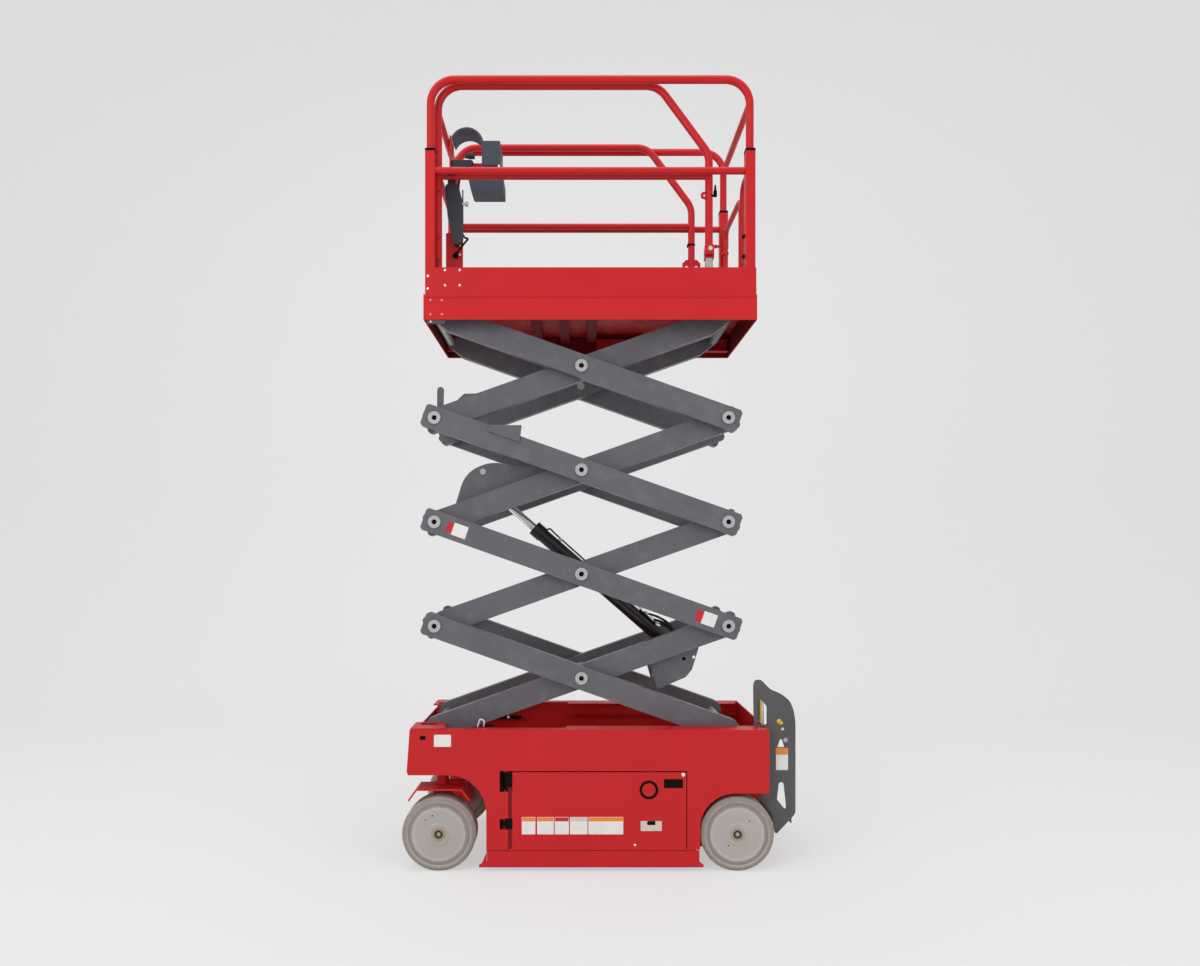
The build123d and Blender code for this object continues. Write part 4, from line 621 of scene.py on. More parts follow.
def rounded(width: float, height: float, radius: float, steps: int = 6, middle: Pair = (0.0, 0.0)) -> np.ndarray:
    """Rounded rectangle, counterclockwise: a quarter circle about each corner's centre.

    Args:
        width: size along the first axis.
        height: size along the second.
        radius: of its corners.
        steps: pieces in each corner.
        middle: its centre.

    Returns:
        Its points in two columns.
    """
    corner = np.array([(1, 1), (-1, 1), (-1, -1), (1, -1)], float)
    centres = corner * (np.array([width, height]) / 2 - radius)
    turn = (np.arange(4)[:, None] + np.linspace(0.0, 1.0, steps + 1)[None, :]) * math.pi / 2
    arc = np.stack([np.cos(turn), np.sin(turn)], axis=2) * radius
    return (centres[:, None, :] + arc).reshape(-1, 2) + np.array(middle)


def inset(outline: np.ndarray, depth: float) -> np.ndarray:
    """Outline moved inwards: each point goes against the mean of the outward normals of its two edges."""
    ahead = np.roll(outline, -1, axis=0) - outline
    normal = np.stack([ahead[:, 1], -ahead[:, 0]], axis=1)
    normal /= np.linalg.norm(normal, axis=1, keepdims=True) + 1e-12
    mean = normal + np.roll(normal, 1, axis=0)
    mean /= np.linalg.norm(mean, axis=1, keepdims=True) + 1e-12
    return outline - depth * mean


def plate(seat: Seat, outline: np.ndarray, bottom: float, top: float, soft: float) -> Shape:
    """Flat plate with softened rims.

    Four rings follow the outline: inset at the bottom, full a little above it, full a little below the top and
    inset at the top. Neighbouring rings are joined by four-sided faces and the end rings are closed.

    Args:
        seat: where it lies.
        outline: its edge, counterclockwise.
        bottom: its underside, out of the seat.
        top: its face, out of the seat.
        soft: size of the softened rim.

    Returns:
        The closed plate.
    """
    count = len(outline)
    small = inset(outline, soft)
    rings = [(small, bottom), (outline, bottom + soft), (outline, top - soft), (small, top)]
    points = np.concatenate([seat.place(ring[:, 0], ring[:, 1], np.full(count, level)) for ring, level in rings])
    here = np.arange(count)
    there = np.roll(here, -1)
    sides = [np.stack([here + k * count, there + k * count, there + (k + 1) * count, here + (k + 1) * count], 1)
             for k in range(3)]
    faces = [tuple(face) for face in np.concatenate(sides).tolist()]
    faces += [tuple(range(count))[::-1], tuple(range(3 * count, 4 * count))]
    return Shape(points, faces)


def skin(grid: np.ndarray, closed: bool) -> Shape:
    """Surface over a grid of points whose columns go round.

    Args:
        grid: rows, columns and X, Y, Z.
        closed: whether the last row joins the first, as on a ring. Otherwise each end closes on its middle.

    Returns:
        The closed surface.
    """
    rows, columns = grid.shape[:2]
    row = np.arange(rows if closed else rows - 1)[:, None]
    column = np.arange(columns)[None, :]
    after, beyond = (row + 1) % rows, (column + 1) % columns
    corners = [row * columns + column, row * columns + beyond, after * columns + beyond, after * columns + column]
    faces = [tuple(face) for face in np.stack(corners, axis=2).reshape(-1, 4).tolist()]
    points = grid.reshape(-1, 3)
    if not closed:
        here = np.arange(columns)
        there = np.roll(here, -1)
        first, last = len(points), len(points) + 1
        foot = np.stack([np.full(columns, first), there, here], axis=1)
        head = np.stack([np.full(columns, last), here + (rows - 1) * columns, there + (rows - 1) * columns], axis=1)
        faces += [tuple(face) for face in np.concatenate([foot, head]).tolist()]
        points = np.concatenate([points, grid[:1].mean(axis=1), grid[-1:].mean(axis=1)])
    return Shape(points, faces)


def turned(seat: Seat, profile: object, closed: bool = False, count: int = 40) -> Shape:
    """Turned piece: each profile point of radius r and height h sweeps r cos, r sin, h about the seat's axis.

    Args:
        seat: its centre and axis.
        profile: radius and height pairs, from the foot up the outside.
        closed: True for a ring whose profile closes on itself.
        count: points round.

    Returns:
        The closed surface.
    """
    rows = np.asarray(profile, float)
    turn = np.arange(count) * TURN / count
    a = np.multiply.outer(rows[:, 0], np.cos(turn))
    b = np.multiply.outer(rows[:, 0], np.sin(turn))
    c = np.repeat(rows[:, 1:2], count, axis=1)
    return skin(seat.place(a, b, c), closed)


def ring(seat: Seat, inner: float, outer: float, bottom: float, top: float, soft: float) -> Shape:
    """Flat ring with softened corners, turned from an eight-sided profile."""
    profile = [(inner + soft, bottom), (outer - soft, bottom), (outer, bottom + soft), (outer, top - soft),
               (outer - soft, top), (inner + soft, top), (inner, top - soft), (inner, bottom + soft)]
    return turned(seat, profile, closed=True)


def dome(seat: Seat, radius: float, height: float, count: int = 20) -> Shape:
    """Round screw head: a quarter of an ellipse turned about the seat's axis."""
    rise = np.linspace(0.0, 0.46 * math.pi, 6)
    profile = np.stack([radius * np.cos(rise), height * np.sin(rise)], axis=1)
    return turned(seat, np.concatenate([[(radius * 0.98, -0.0006)], profile]), count=count)


def hexagon(seat: Seat, across_flats: float, height: float) -> Shape:
    """Bolt head: a six-sided plate with chamfered rims under a low dome."""
    head = plate(seat, circle(across_flats / math.sqrt(3.0), 6), 0.0, height, 0.06 * across_flats)
    crown = [(0.4 * across_flats, height - 0.0004), (0.3 * across_flats, height + 0.0005)]
    return Shape.merged(head, turned(seat, crown, count=18))


def pipe(path: object, radius: object, reference: Point, count: int = 14) -> Shape:
    """Tube along a path.

    At each station the tangent t is the slope of the path, u is reference x t made one long, v is t x u, and the
    tube's point is the station + r (u cos + v sin).

    Args:
        path: the stations.
        radius: one radius, or one for each station.
        reference: a direction that the path never runs along.
        count: points round.

    Returns:
        The tube with closed ends.
    """
    line = np.asarray(path, float)
    tangent = np.gradient(line, axis=0)
    tangent /= np.linalg.norm(tangent, axis=1, keepdims=True)
    u = np.cross(np.broadcast_to(np.array(reference, float), tangent.shape), tangent)
    u /= np.linalg.norm(u, axis=1, keepdims=True)
    v = np.cross(tangent, u)
    turn = np.arange(count) * TURN / count
    size = np.broadcast_to(np.asarray(radius, float), (len(line),))
    grid = line[:, None, :] + size[:, None, None] * (u[:, None, :] * np.cos(turn)[None, :, None]
                                                     + v[:, None, :] * np.sin(turn)[None, :, None])
    return skin(grid, closed=False)


def flowing(points: object, samples: int = 10) -> np.ndarray:
    """Smooth line through points: between two neighbours a cubic whose end slopes are half the span that skips
    each of them.

    Args:
        points: what it goes through.
        samples: stations in each span.

    Returns:
        The stations.
    """
    knots = np.asarray(points, float)
    slope = np.gradient(knots, axis=0)
    share = np.linspace(0.0, 1.0, samples, endpoint=False)[None, :, None]
    start, end = knots[:-1, None, :], knots[1:, None, :]
    leave, reach = slope[:-1, None, :], slope[1:, None, :]
    line = ((2 * share ** 3 - 3 * share ** 2 + 1) * start + (share ** 3 - 2 * share ** 2 + share) * leave
            + (-2 * share ** 3 + 3 * share ** 2) * end + (share ** 3 - share ** 2) * reach)
    return np.concatenate([line.reshape(-1, 3), knots[-1:]])


def bent(points: object, radius: float, samples: int = 8) -> np.ndarray:
    """Straight runs with rounded corners: each corner becomes the parabola that leaves its two runs a radius
    before and after it.

    Args:
        points: ends and corners.
        radius: how far from a corner its curve starts.
        samples: stations in each curve.

    Returns:
        The stations.
    """
    knots = np.asarray(points, float)
    before, corner, after = knots[:-2], knots[1:-1], knots[2:]
    back = (before - corner) / np.linalg.norm(before - corner, axis=1, keepdims=True)
    on = (after - corner) / np.linalg.norm(after - corner, axis=1, keepdims=True)
    share = np.linspace(0.0, 1.0, samples)[None, :, None]
    start, end = (corner + radius * back)[:, None, :], (corner + radius * on)[:, None, :]
    curve = (1 - share) ** 2 * start + 2 * share * (1 - share) * corner[:, None, :] + share ** 2 * end
    return np.concatenate([knots[:1], curve.reshape(-1, 3), knots[-1:]])


def add(name: str, shape: Shape, finish: Finishes, body: str, crease: float = 32.0) -> bpy.types.Object:
    """Make an object of a shape, dress it and let it ride.

    Args:
        name: piece name.
        shape: its surface.
        finish: its finish.
        body: the body that it moves with.
        crease: edges sharper than this many degrees stay sharp.

    Returns:
        The object, at the origin with its place in its mesh.
    """
    mesh = bpy.data.meshes.new(name)
    mesh.from_pydata(shape.points.tolist(), [], shape.faces)
    mesh.shade_smooth()
    mesh.set_sharp_from_angle(angle=math.radians(crease))
    mesh.materials.append(finish.value.build())
    piece = bpy.data.objects.new(name, mesh)
    bpy.context.scene.collection.objects.link(piece)
    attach(piece, body)
    log.info("%s rides %s", name, body)
    return piece


def pierced(seat: Seat, outline: np.ndarray, holes: list[np.ndarray], thick: float, soft: float) -> Shape:
    """Sheet with openings: its outlines fill a flat curve, which is thickened and turned into a surface.

    Args:
        seat: where it lies; the sheet's middle layer is on the seat's face.
        outline: its outer edge in two columns.
        holes: the edge of each opening, in two columns.
        thick: thickness.
        soft: rounding of the edges.

    Returns:
        The sheet.
    """
    curve = bpy.data.curves.new("sheet_outline", "CURVE")
    curve.dimensions = "2D"
    curve.fill_mode = "BOTH"
    curve.extrude = thick / 2 - soft
    curve.bevel_depth = soft
    curve.bevel_resolution = 1
    curve.offset = -soft
    for edge in (outline, *holes):
        spline = curve.splines.new("POLY")
        spline.points.add(len(edge) - 1)
        spline.points.foreach_set("co", np.column_stack([edge, np.zeros(len(edge)), np.ones(len(edge))]).ravel())
        spline.use_cyclic_u = True
    holder = bpy.data.objects.new("sheet_outline", curve)
    bpy.context.scene.collection.objects.link(holder)
    mesh = bpy.data.meshes.new_from_object(holder.evaluated_get(bpy.context.evaluated_depsgraph_get()))
    local = np.empty(3 * len(mesh.vertices))
    mesh.vertices.foreach_get("co", local)
    local = local.reshape(-1, 3)
    faces = [tuple(face.vertices) for face in mesh.polygons]
    bpy.data.objects.remove(holder)
    bpy.data.curves.remove(curve)
    bpy.data.meshes.remove(mesh)
    return Shape(seat.place(*local.T), faces)


def eased(corners: object, radius: float, steps: int = 5) -> np.ndarray:
    """Outline with its corners eased: each corner becomes a curve between two points set back along its sides.

    Args:
        corners: the corners in two columns.
        radius: how far each corner is set back, at most four tenths of a side.
        steps: pieces in each corner.

    Returns:
        The eased outline in two columns.
    """
    here = np.asarray(corners, float)
    before, after = np.roll(here, 1, axis=0) - here, np.roll(here, -1, axis=0) - here
    back, ahead = np.linalg.norm(before, axis=1), np.linalg.norm(after, axis=1)
    first = here + before / back[:, None] * np.minimum(radius, 0.4 * back)[:, None]
    last = here + after / ahead[:, None] * np.minimum(radius, 0.4 * ahead)[:, None]
    t = np.linspace(0.0, 1.0, steps + 1)[None, :, None]
    return ((1 - t) ** 2 * first[:, None] + 2 * t * (1 - t) * here[:, None] + t ** 2 * last[:, None]).reshape(-1, 2)


@dataclass(frozen=True)
class Panel:
    """Size of a thin flat piece.

    Attributes:
        width: along its seat's first axis.
        height: along the second.
        corner: radius of its corners.
        bottom: its underside, out of the seat.
        top: its face, out of the seat.
        soft: size of its softened rim.
    """

    width: float
    height: float
    corner: float
    bottom: float
    top: float
    soft: float

    def on(self, *seats: Seat) -> Shape:
        """The piece on each seat."""
        edge = rounded(self.width, self.height, self.corner)
        return Shape.merged(*(plate(seat, edge, self.bottom, self.top, self.soft) for seat in seats))


@dataclass(frozen=True)
class Stud:
    """Size of a turned piece.

    Attributes:
        profile: radius and height pairs, from the foot up the outside.
        count: points round.
    """

    profile: tuple[Pair, ...]
    count: int = 28

    def on(self, *seats: Seat) -> Shape:
        """The piece on each seat."""
        return Shape.merged(*(turned(seat, self.profile, count=self.count) for seat in seats))


@dataclass(frozen=True)
class Head:
    """Size of a domed screw head, rivet or small hole.

    Attributes:
        radius: its radius.
        height: its height.
        count: points round.
    """

    radius: float
    height: float
    count: int = 20

    def on(self, *seats: Seat) -> Shape:
        """The piece on each seat."""
        return Shape.merged(*(dome(seat, self.radius, self.height, self.count) for seat in seats))


@dataclass(frozen=True)
class Label:
    """Blank white label with a coloured strip along its top.

    Attributes:
        height: the label's height.
        strip: the strip's height.
        margin: white left round the strip.
        lift: the label's face over what it is stuck on.
    """

    height: float
    strip: float
    margin: float
    lift: float

    def stick(self, name: str, place: Point, width: float, colour: Finishes, body: str) -> None:
        """Make the label and its strip.

        Args:
            name: name of the label.
            place: its middle, on a near or far face.
            width: its width.
            colour: finish of the strip.
            body: the body that it moves with.
        """
        x, y, z = place
        white = Panel(width, self.height, 0.003, -0.0003, self.lift, 0.0002)
        add(name, white.on(side_seat(x, y, z)), Finishes.WHITE_LABEL, body)
        strip = Panel(width - 2 * self.margin, self.strip, 0.002, self.lift - 0.0002, self.lift + 0.0003, 0.0002)
        rise = (self.height - self.strip) / 2 - self.margin
        add(f"{name}_strip", strip.on(side_seat(x, y, z + rise)), colour, body)


def anchor(ends: Ends) -> np.ndarray:
    """Point whose X, Y and Z each come from a solid or a joint.

    Args:
        ends: for each axis a solid's name with "-" or "+" for its low or high end, a joint's name, or "" for zero.

    Returns:
        The point.
    """
    point = np.zeros(3)
    for axis, end in enumerate(ends):
        if end in JOINTS:
            point[axis] = pivot(end)[axis]
        elif end:
            point[axis] = (high if end.endswith("+") else low)(end[:-1])[axis]
    return point


@dataclass(frozen=True)
class Fitting:
    """A small piece, or several of one size, placed from the ends of solids.

    Attributes:
        name: name of the piece.
        size: its size.
        finish: its finish.
        body: the body that it moves with.
        ends: what its places are measured from.
        places: how far it is from there, along the machine, across it and up.
        seat: which way it faces.
        sides: 1 for the places as they are and -1 for their mirror images across the middle.
    """

    name: str
    size: Panel | Stud | Head
    finish: Finishes
    body: str
    ends: Ends
    places: tuple[Point, ...]
    seat: Callable[[float, float, float], Seat] = side_seat
    sides: tuple[int, ...] = (1,)

    def make(self) -> None:
        """Make the piece at its places."""
        spots = anchor(self.ends) + np.array(self.places)
        seats = [self.seat(x, side * y, z) for side in self.sides for x, y, z in spots]
        add(self.name, self.size.on(*seats), self.finish, self.body)


@dataclass
class Dressing:
    """A group of small pieces.

    Attributes:
        fittings: pieces that are placed from the ends of solids.
    """

    fittings: tuple[Fitting, ...] = ()

    def build(self) -> None:
        """Make every piece."""
        for fitting in self.fittings:
            fitting.make()


# ------------------------------------------------------------------------------------------------ chassis
CHASSIS_RIM: Ends = ("chassis_side_left-", "chassis_side_left-", "chassis_side_left+")
CORNER_RISE = 0.006  # The chassis's corner plates over its rim, in metres.


@dataclass
class ChassisDressing(Dressing):
    """Bare plates, holes and small fittings on the chassis.

    Attributes:
        fittings: the tag, its rivets, dark plates of painted shade for the lashing holes, and the clip and the lever
            in the well.
        hook_ends: what the safety-prop hook is measured from.
        hook_path: corners of its rod.
        hook_bend: how far from a corner its bend starts.
        wire: radius of the rod.
        lip_depth: height of a pothole guard's upper lip.
        lip_short: how much shorter than the guard the lip is.
        gusset: corners of the gusset at a guard's leading end.
        inside: how far the lip and the gusset lie inside the guard's face.
    """

    fittings: tuple[Fitting, ...] = (
        Fitting("chassis_tag", Panel(0.082, 0.058, 0.003, -0.0002, 0.0009, 0.0003), Finishes.WHITE_LABEL, "chassis",
                CHASSIS_RIM, ((0.172, 0.0, -0.058),)),
        Fitting("chassis_tag_rivets", Head(0.0022, 0.0012, 12), Finishes.STEEL, "chassis", CHASSIS_RIM,
                ((0.136, -0.0008, -0.082), (0.136, -0.0008, -0.034), (0.208, -0.0008, -0.082),
                 (0.208, -0.0008, -0.034))),
        # Lashing holes: flat dark plates of painted shade.
        *(Fitting(f"lashing_hole_{hand}", Panel(0.028, 0.019, 0.006, -0.001, 0.0003, 0.0002), Finishes.HOLE,
                  "chassis", CHASSIS_RIM, ((0.0774, 0.0, -0.0445),), sides=(side,))
          for hand, side in (("near", 1), ("far", -1))),
        Fitting("prop_clip", Panel(0.05, 0.018, 0.006, -0.0005, 0.007, 0.0015), Finishes.HOLE, "chassis",
                ("chassis_side_left-", "base_mounts-", "chassis_side_left+"), ((0.390, 0.036, -0.006),), top_seat),
        Fitting("well_lever", Panel(0.21, 0.022, 0.010, 0.0, 0.004, 0.001), Finishes.HOLE, "chassis",
                ("chassis_side_left-", "base_mounts+", "chassis_side_left+"), ((0.400, -0.043, -0.084),), near_seat),
        Fitting("well_lever_screw", Head(0.008, 0.003), Finishes.BRIGHT, "chassis",
                ("chassis_side_left-", "base_mounts+", "chassis_side_left+"), ((0.430, -0.047, -0.084),), near_seat))
    hook_ends: Ends = ("chassis_side_left-", "base_mounts-", "chassis_side_left+")
    hook_path: tuple[Point, ...] = ((0.330, 0.036, -0.008), (0.342, 0.036, 0.030), (0.364, 0.036, 0.0192),
                                    (0.360, 0.036, -0.008))
    hook_bend: float = 0.010
    wire: float = 0.004
    lip_depth: float = 0.0085
    lip_short: float = 0.070
    gusset: tuple[Pair, ...] = ((0.0, 0.004), (0.036, 0.004), (0.0365, 0.074), (0.031, 0.060), (0.016, 0.024))
    inside: Pair = (0.006, 0.0045)

    def build(self) -> None:
        """Make every fitting of the chassis, and the bent rod on the near rim that the safety prop clips to."""
        super().build()
        path = bent(anchor(self.hook_ends) + np.array(self.hook_path), self.hook_bend)
        add("prop_hook", pipe(path, self.wire, ALONG_Y), Finishes.BRIGHT, "chassis")
        self.guard_lips()

    def guard_lips(self) -> None:
        """Upper lip and leading gusset of each pothole guard."""
        face = abs(low("pothole_guard_left")[1])
        for hand, side in HANDS:
            first, last = low(f"pothole_guard_{hand}"), high(f"pothole_guard_{hand}")
            lip = side_seat((first[0] + last[0]) / 2, side * (face - self.inside[0]), last[2] + 0.0005)
            bar = Panel(last[0] - first[0] - self.lip_short, self.lip_depth, 0.001, -0.002, 0.001, 0.0003).on(lip)
            corners = np.array(self.gusset)
            corners = corners if side < 0 else (corners * np.array([-1.0, 1.0]))[::-1]
            foot = side_seat(first[0], side * (face - self.inside[1]), first[2])
            add(f"guard_lip_{hand}", Shape.merged(bar, plate(foot, corners, -0.003, 0.0, 0.0004)), Finishes.RED,
                f"guard_{hand}")


@dataclass
class DoorDressing:
    """Ring lock, hand slot, latch and blank labels on the doors. Places are from the free edge and the bottom edge.

    Attributes:
        ring_place: ring lock.
        ring_lock: its inner and outer radius, its foot, its face and its softened corners.
        ring_core: the disc inside it.
        slot_place: hand slot.
        slot: its size.
        latch_place: latch plate.
        latch: its size.
        notch_place: painted shade of the latch's opening, a dark plate.
        notch: its size.
        screws: screw places with their head radius.
        seal_place: painted shade, a dark strip behind the gap at the free edge, beyond the edge and inside the face.
        seal_width: its width.
        wells: painted shade, dark plates behind the gap at the hinge openings, each by its middle's height and its own
            height.
        well_place: the openings' place from the free edge and inside the face.
        recesses: painted shade, flat dark plates for the hinge recesses on the door, each by its middle, width and
            height.
        shades: painted shade on the edges beside them, given the same way.
        label: the labels.
        label_up: their middle.
        labels: each label's middle, width and the finish of its strip.
    """

    ring_place: Pair = (0.179, 0.289)
    ring_lock: tuple[float, ...] = (0.0325, 0.0450, -0.0005, 0.0022, 0.0008)
    ring_core: Stud = Stud(((0.030, -0.0003), (0.030, 0.0004), (0.028, 0.0009)), 48)
    slot_place: Pair = (0.061, 0.3195)
    slot: Panel = Panel(0.092, 0.043, 0.003, -0.0005, 0.0005, 0.0003)
    latch_place: Pair = (0.168, 0.116)
    latch: Panel = Panel(0.102, 0.048, 0.004, -0.0005, 0.0016, 0.0006)
    notch_place: Pair = (0.168, 0.1305)
    notch: Panel = Panel(0.040, 0.019, 0.004, 0.001, 0.0021, 0.0003)
    screws: tuple[Point, ...] = ((0.014, 0.362, 0.009), (0.246, 0.025, 0.006))
    seal_place: Pair = (0.0032, 0.0075)
    seal_width: float = 0.0054
    wells: tuple[Pair, ...] = ((0.3290, 0.090), (0.1260, 0.046))
    well_place: Pair = (0.8880, 0.0085)
    recesses: tuple[tuple[float, ...], ...] = ((0.8520, 0.3290, 0.036, 0.092), (0.8520, 0.1260, 0.036, 0.054))
    shades: tuple[tuple[float, ...], ...] = ((0.8460, 0.2260, 0.018, 0.150), (0.8460, 0.0530, 0.018, 0.098))
    label: Label = Label(0.083, 0.019, 0.0015, 0.0006)
    label_up: float = 0.1175
    labels: tuple[tuple[float, float, Finishes], ...] = (
        (0.7566, 0.065, Finishes.ORANGE_LABEL), (0.6756, 0.080, Finishes.ORANGE_LABEL),
        (0.5971, 0.068, Finishes.RED_LABEL), (0.5161, 0.084, Finishes.LATCH), (0.3858, 0.1675, Finishes.ORANGE_LABEL))

    def build(self) -> None:
        """Dress the near and the far door."""
        for hand, side in HANDS:
            body = f"door_{hand}"
            corner = np.array([high(body)[0], side * abs(low("door_left")[1]), low(body)[2]])
            self.fittings(body, corner)
            self.gaps(body, side, corner)
            self.pockets(body, corner)
            for number, (across, width, colour) in enumerate(self.labels, 1):
                place = (corner[0] - across, corner[1], corner[2] + self.label_up)
                self.label.stick(f"{body}_label_{number}", place, width, colour, body)

    def seat(self, corner: np.ndarray, place: Pair) -> Seat:
        """Seat on the door's face."""
        return side_seat(corner[0] - place[0], corner[1], corner[2] + place[1])

    def fittings(self, body: str, corner: np.ndarray) -> None:
        """Ring lock, hand slot and latch of one door, with a dark plate of painted shade for the latch's opening."""
        lock = self.seat(corner, self.ring_place)
        add(f"{body}_ring_lock", ring(lock, *self.ring_lock), Finishes.HOLE, body)
        add(f"{body}_ring_core", self.ring_core.on(lock), Finishes.RED, body)
        for piece, size, place, finish in (("hand_slot", self.slot, self.slot_place, Finishes.HOLE),
                                           ("latch_plate", self.latch, self.latch_place, Finishes.LATCH),
                                           ("latch_notch", self.notch, self.notch_place, Finishes.HOLE)):
            add(f"{body}_{piece}", size.on(self.seat(corner, place)), finish, body)

    def gaps(self, body: str, side: int, corner: np.ndarray) -> None:
        """Painted shade that shows through the gaps round one door: a dark strip at the free edge and dark plates at
        the hinges.
        """
        foot, top = low(body)[2], high(body)[2]
        # Painted shade: a dark strip and dark plates behind the door's gaps, riding the chassis.
        strip = side_seat(corner[0] + self.seal_place[0], corner[1] - side * self.seal_place[1], (foot + top) / 2)
        gap_shade = Panel(self.seal_width, top - foot - 0.004, 0.0005, -0.001, 0.001, 0.0003)
        add(f"{body}_seal", gap_shade.on(strip), Finishes.SHADE, "chassis")
        across, inside = self.well_place
        wells = [Panel(0.0130, depth, 0.002, -0.001, 0.001, 0.0003).on(
            side_seat(corner[0] - across, corner[1] - side * inside, foot + up)) for up, depth in self.wells]
        add(f"{body}_hinge_wells", Shape.merged(*wells), Finishes.HOLE, "chassis")

    def pockets(self, body: str, corner: np.ndarray) -> None:
        """Painted shade: flat dark plates in the hinge recesses and on the edge beside them, each a hair over the
        last; and screws.
        """
        sheets = [Panel(width, height, 0.003, -0.0005, 0.0004 + 0.0001 * number, 0.0002).on(
            self.seat(corner, (across, up)))
            for number, (across, up, width, height) in enumerate(self.recesses + self.shades)]
        add(f"{body}_recesses", Shape.merged(*sheets[:len(self.recesses)]), Finishes.HOLE, body)
        add(f"{body}_edge_shade", Shape.merged(*sheets[len(self.recesses):]), Finishes.SHADE, body)
        heads = [Head(size, 0.45 * size).on(self.seat(corner, (across, up))) for across, up, size in self.screws]
        add(f"{body}_screws", Shape.merged(*heads), Finishes.BRIGHT, body)


@dataclass
class HubDressing:
    """Axle nuts, and small dark dots of painted shade for the holes in the wheels.

    Attributes:
        recess: depth of the axle's end below the hub's face.
        washer: dark washer with a raised lip.
        nut: the nut across its flats and its height.
        marks: small holes of the front and the rear wheels, drawn as dark dots of painted shade, along and up from the
            axle.
        mark: one of those holes.
        disc_drop: disc face below the hub's face.
    """

    recess: float = 0.006
    washer: Stud = Stud(((0.0192, 0.0), (0.0192, 0.0032), (0.0176, 0.0044), (0.0152, 0.0036), (0.0142, 0.0024)), 40)
    nut: Pair = (0.019, 0.0046)
    marks: tuple[tuple[Pair, ...], ...] = (((-0.030, 0.0895), (-0.063, 0.068)), ((0.057, 0.064), (-0.043, -0.054)))
    mark: Head = Head(0.0034, 0.0005, 12)
    disc_drop: float = 0.004

    def build(self) -> None:
        """Give every wheel a washer and a nut on its axle, and the holes through its disc."""
        for end, marks in zip(("front", "rear"), self.marks):
            for hand, side in HANDS:
                wheel = f"wheel_{end}_{hand}"
                holder = f"knuckle_{hand}" if end == "front" else "chassis"
                x, _, z = (low(wheel) + high(wheel)) / 2
                face = side * abs(low("wheel_front_left")[1])
                seat = side_seat(x, face - side * self.recess, z)
                add(f"{wheel}_washer", self.washer.on(seat), Finishes.IRON, holder)
                add(f"{wheel}_nut", hexagon(seat, *self.nut), Finishes.STEEL, holder)
                # Dark dots of painted shade for the holes through the disc.
                spots = [side_seat(x + along, face - side * self.disc_drop, z + up) for along, up in marks]
                add(f"{wheel}_holes", self.mark.on(*spots), Finishes.HOLE, wheel)


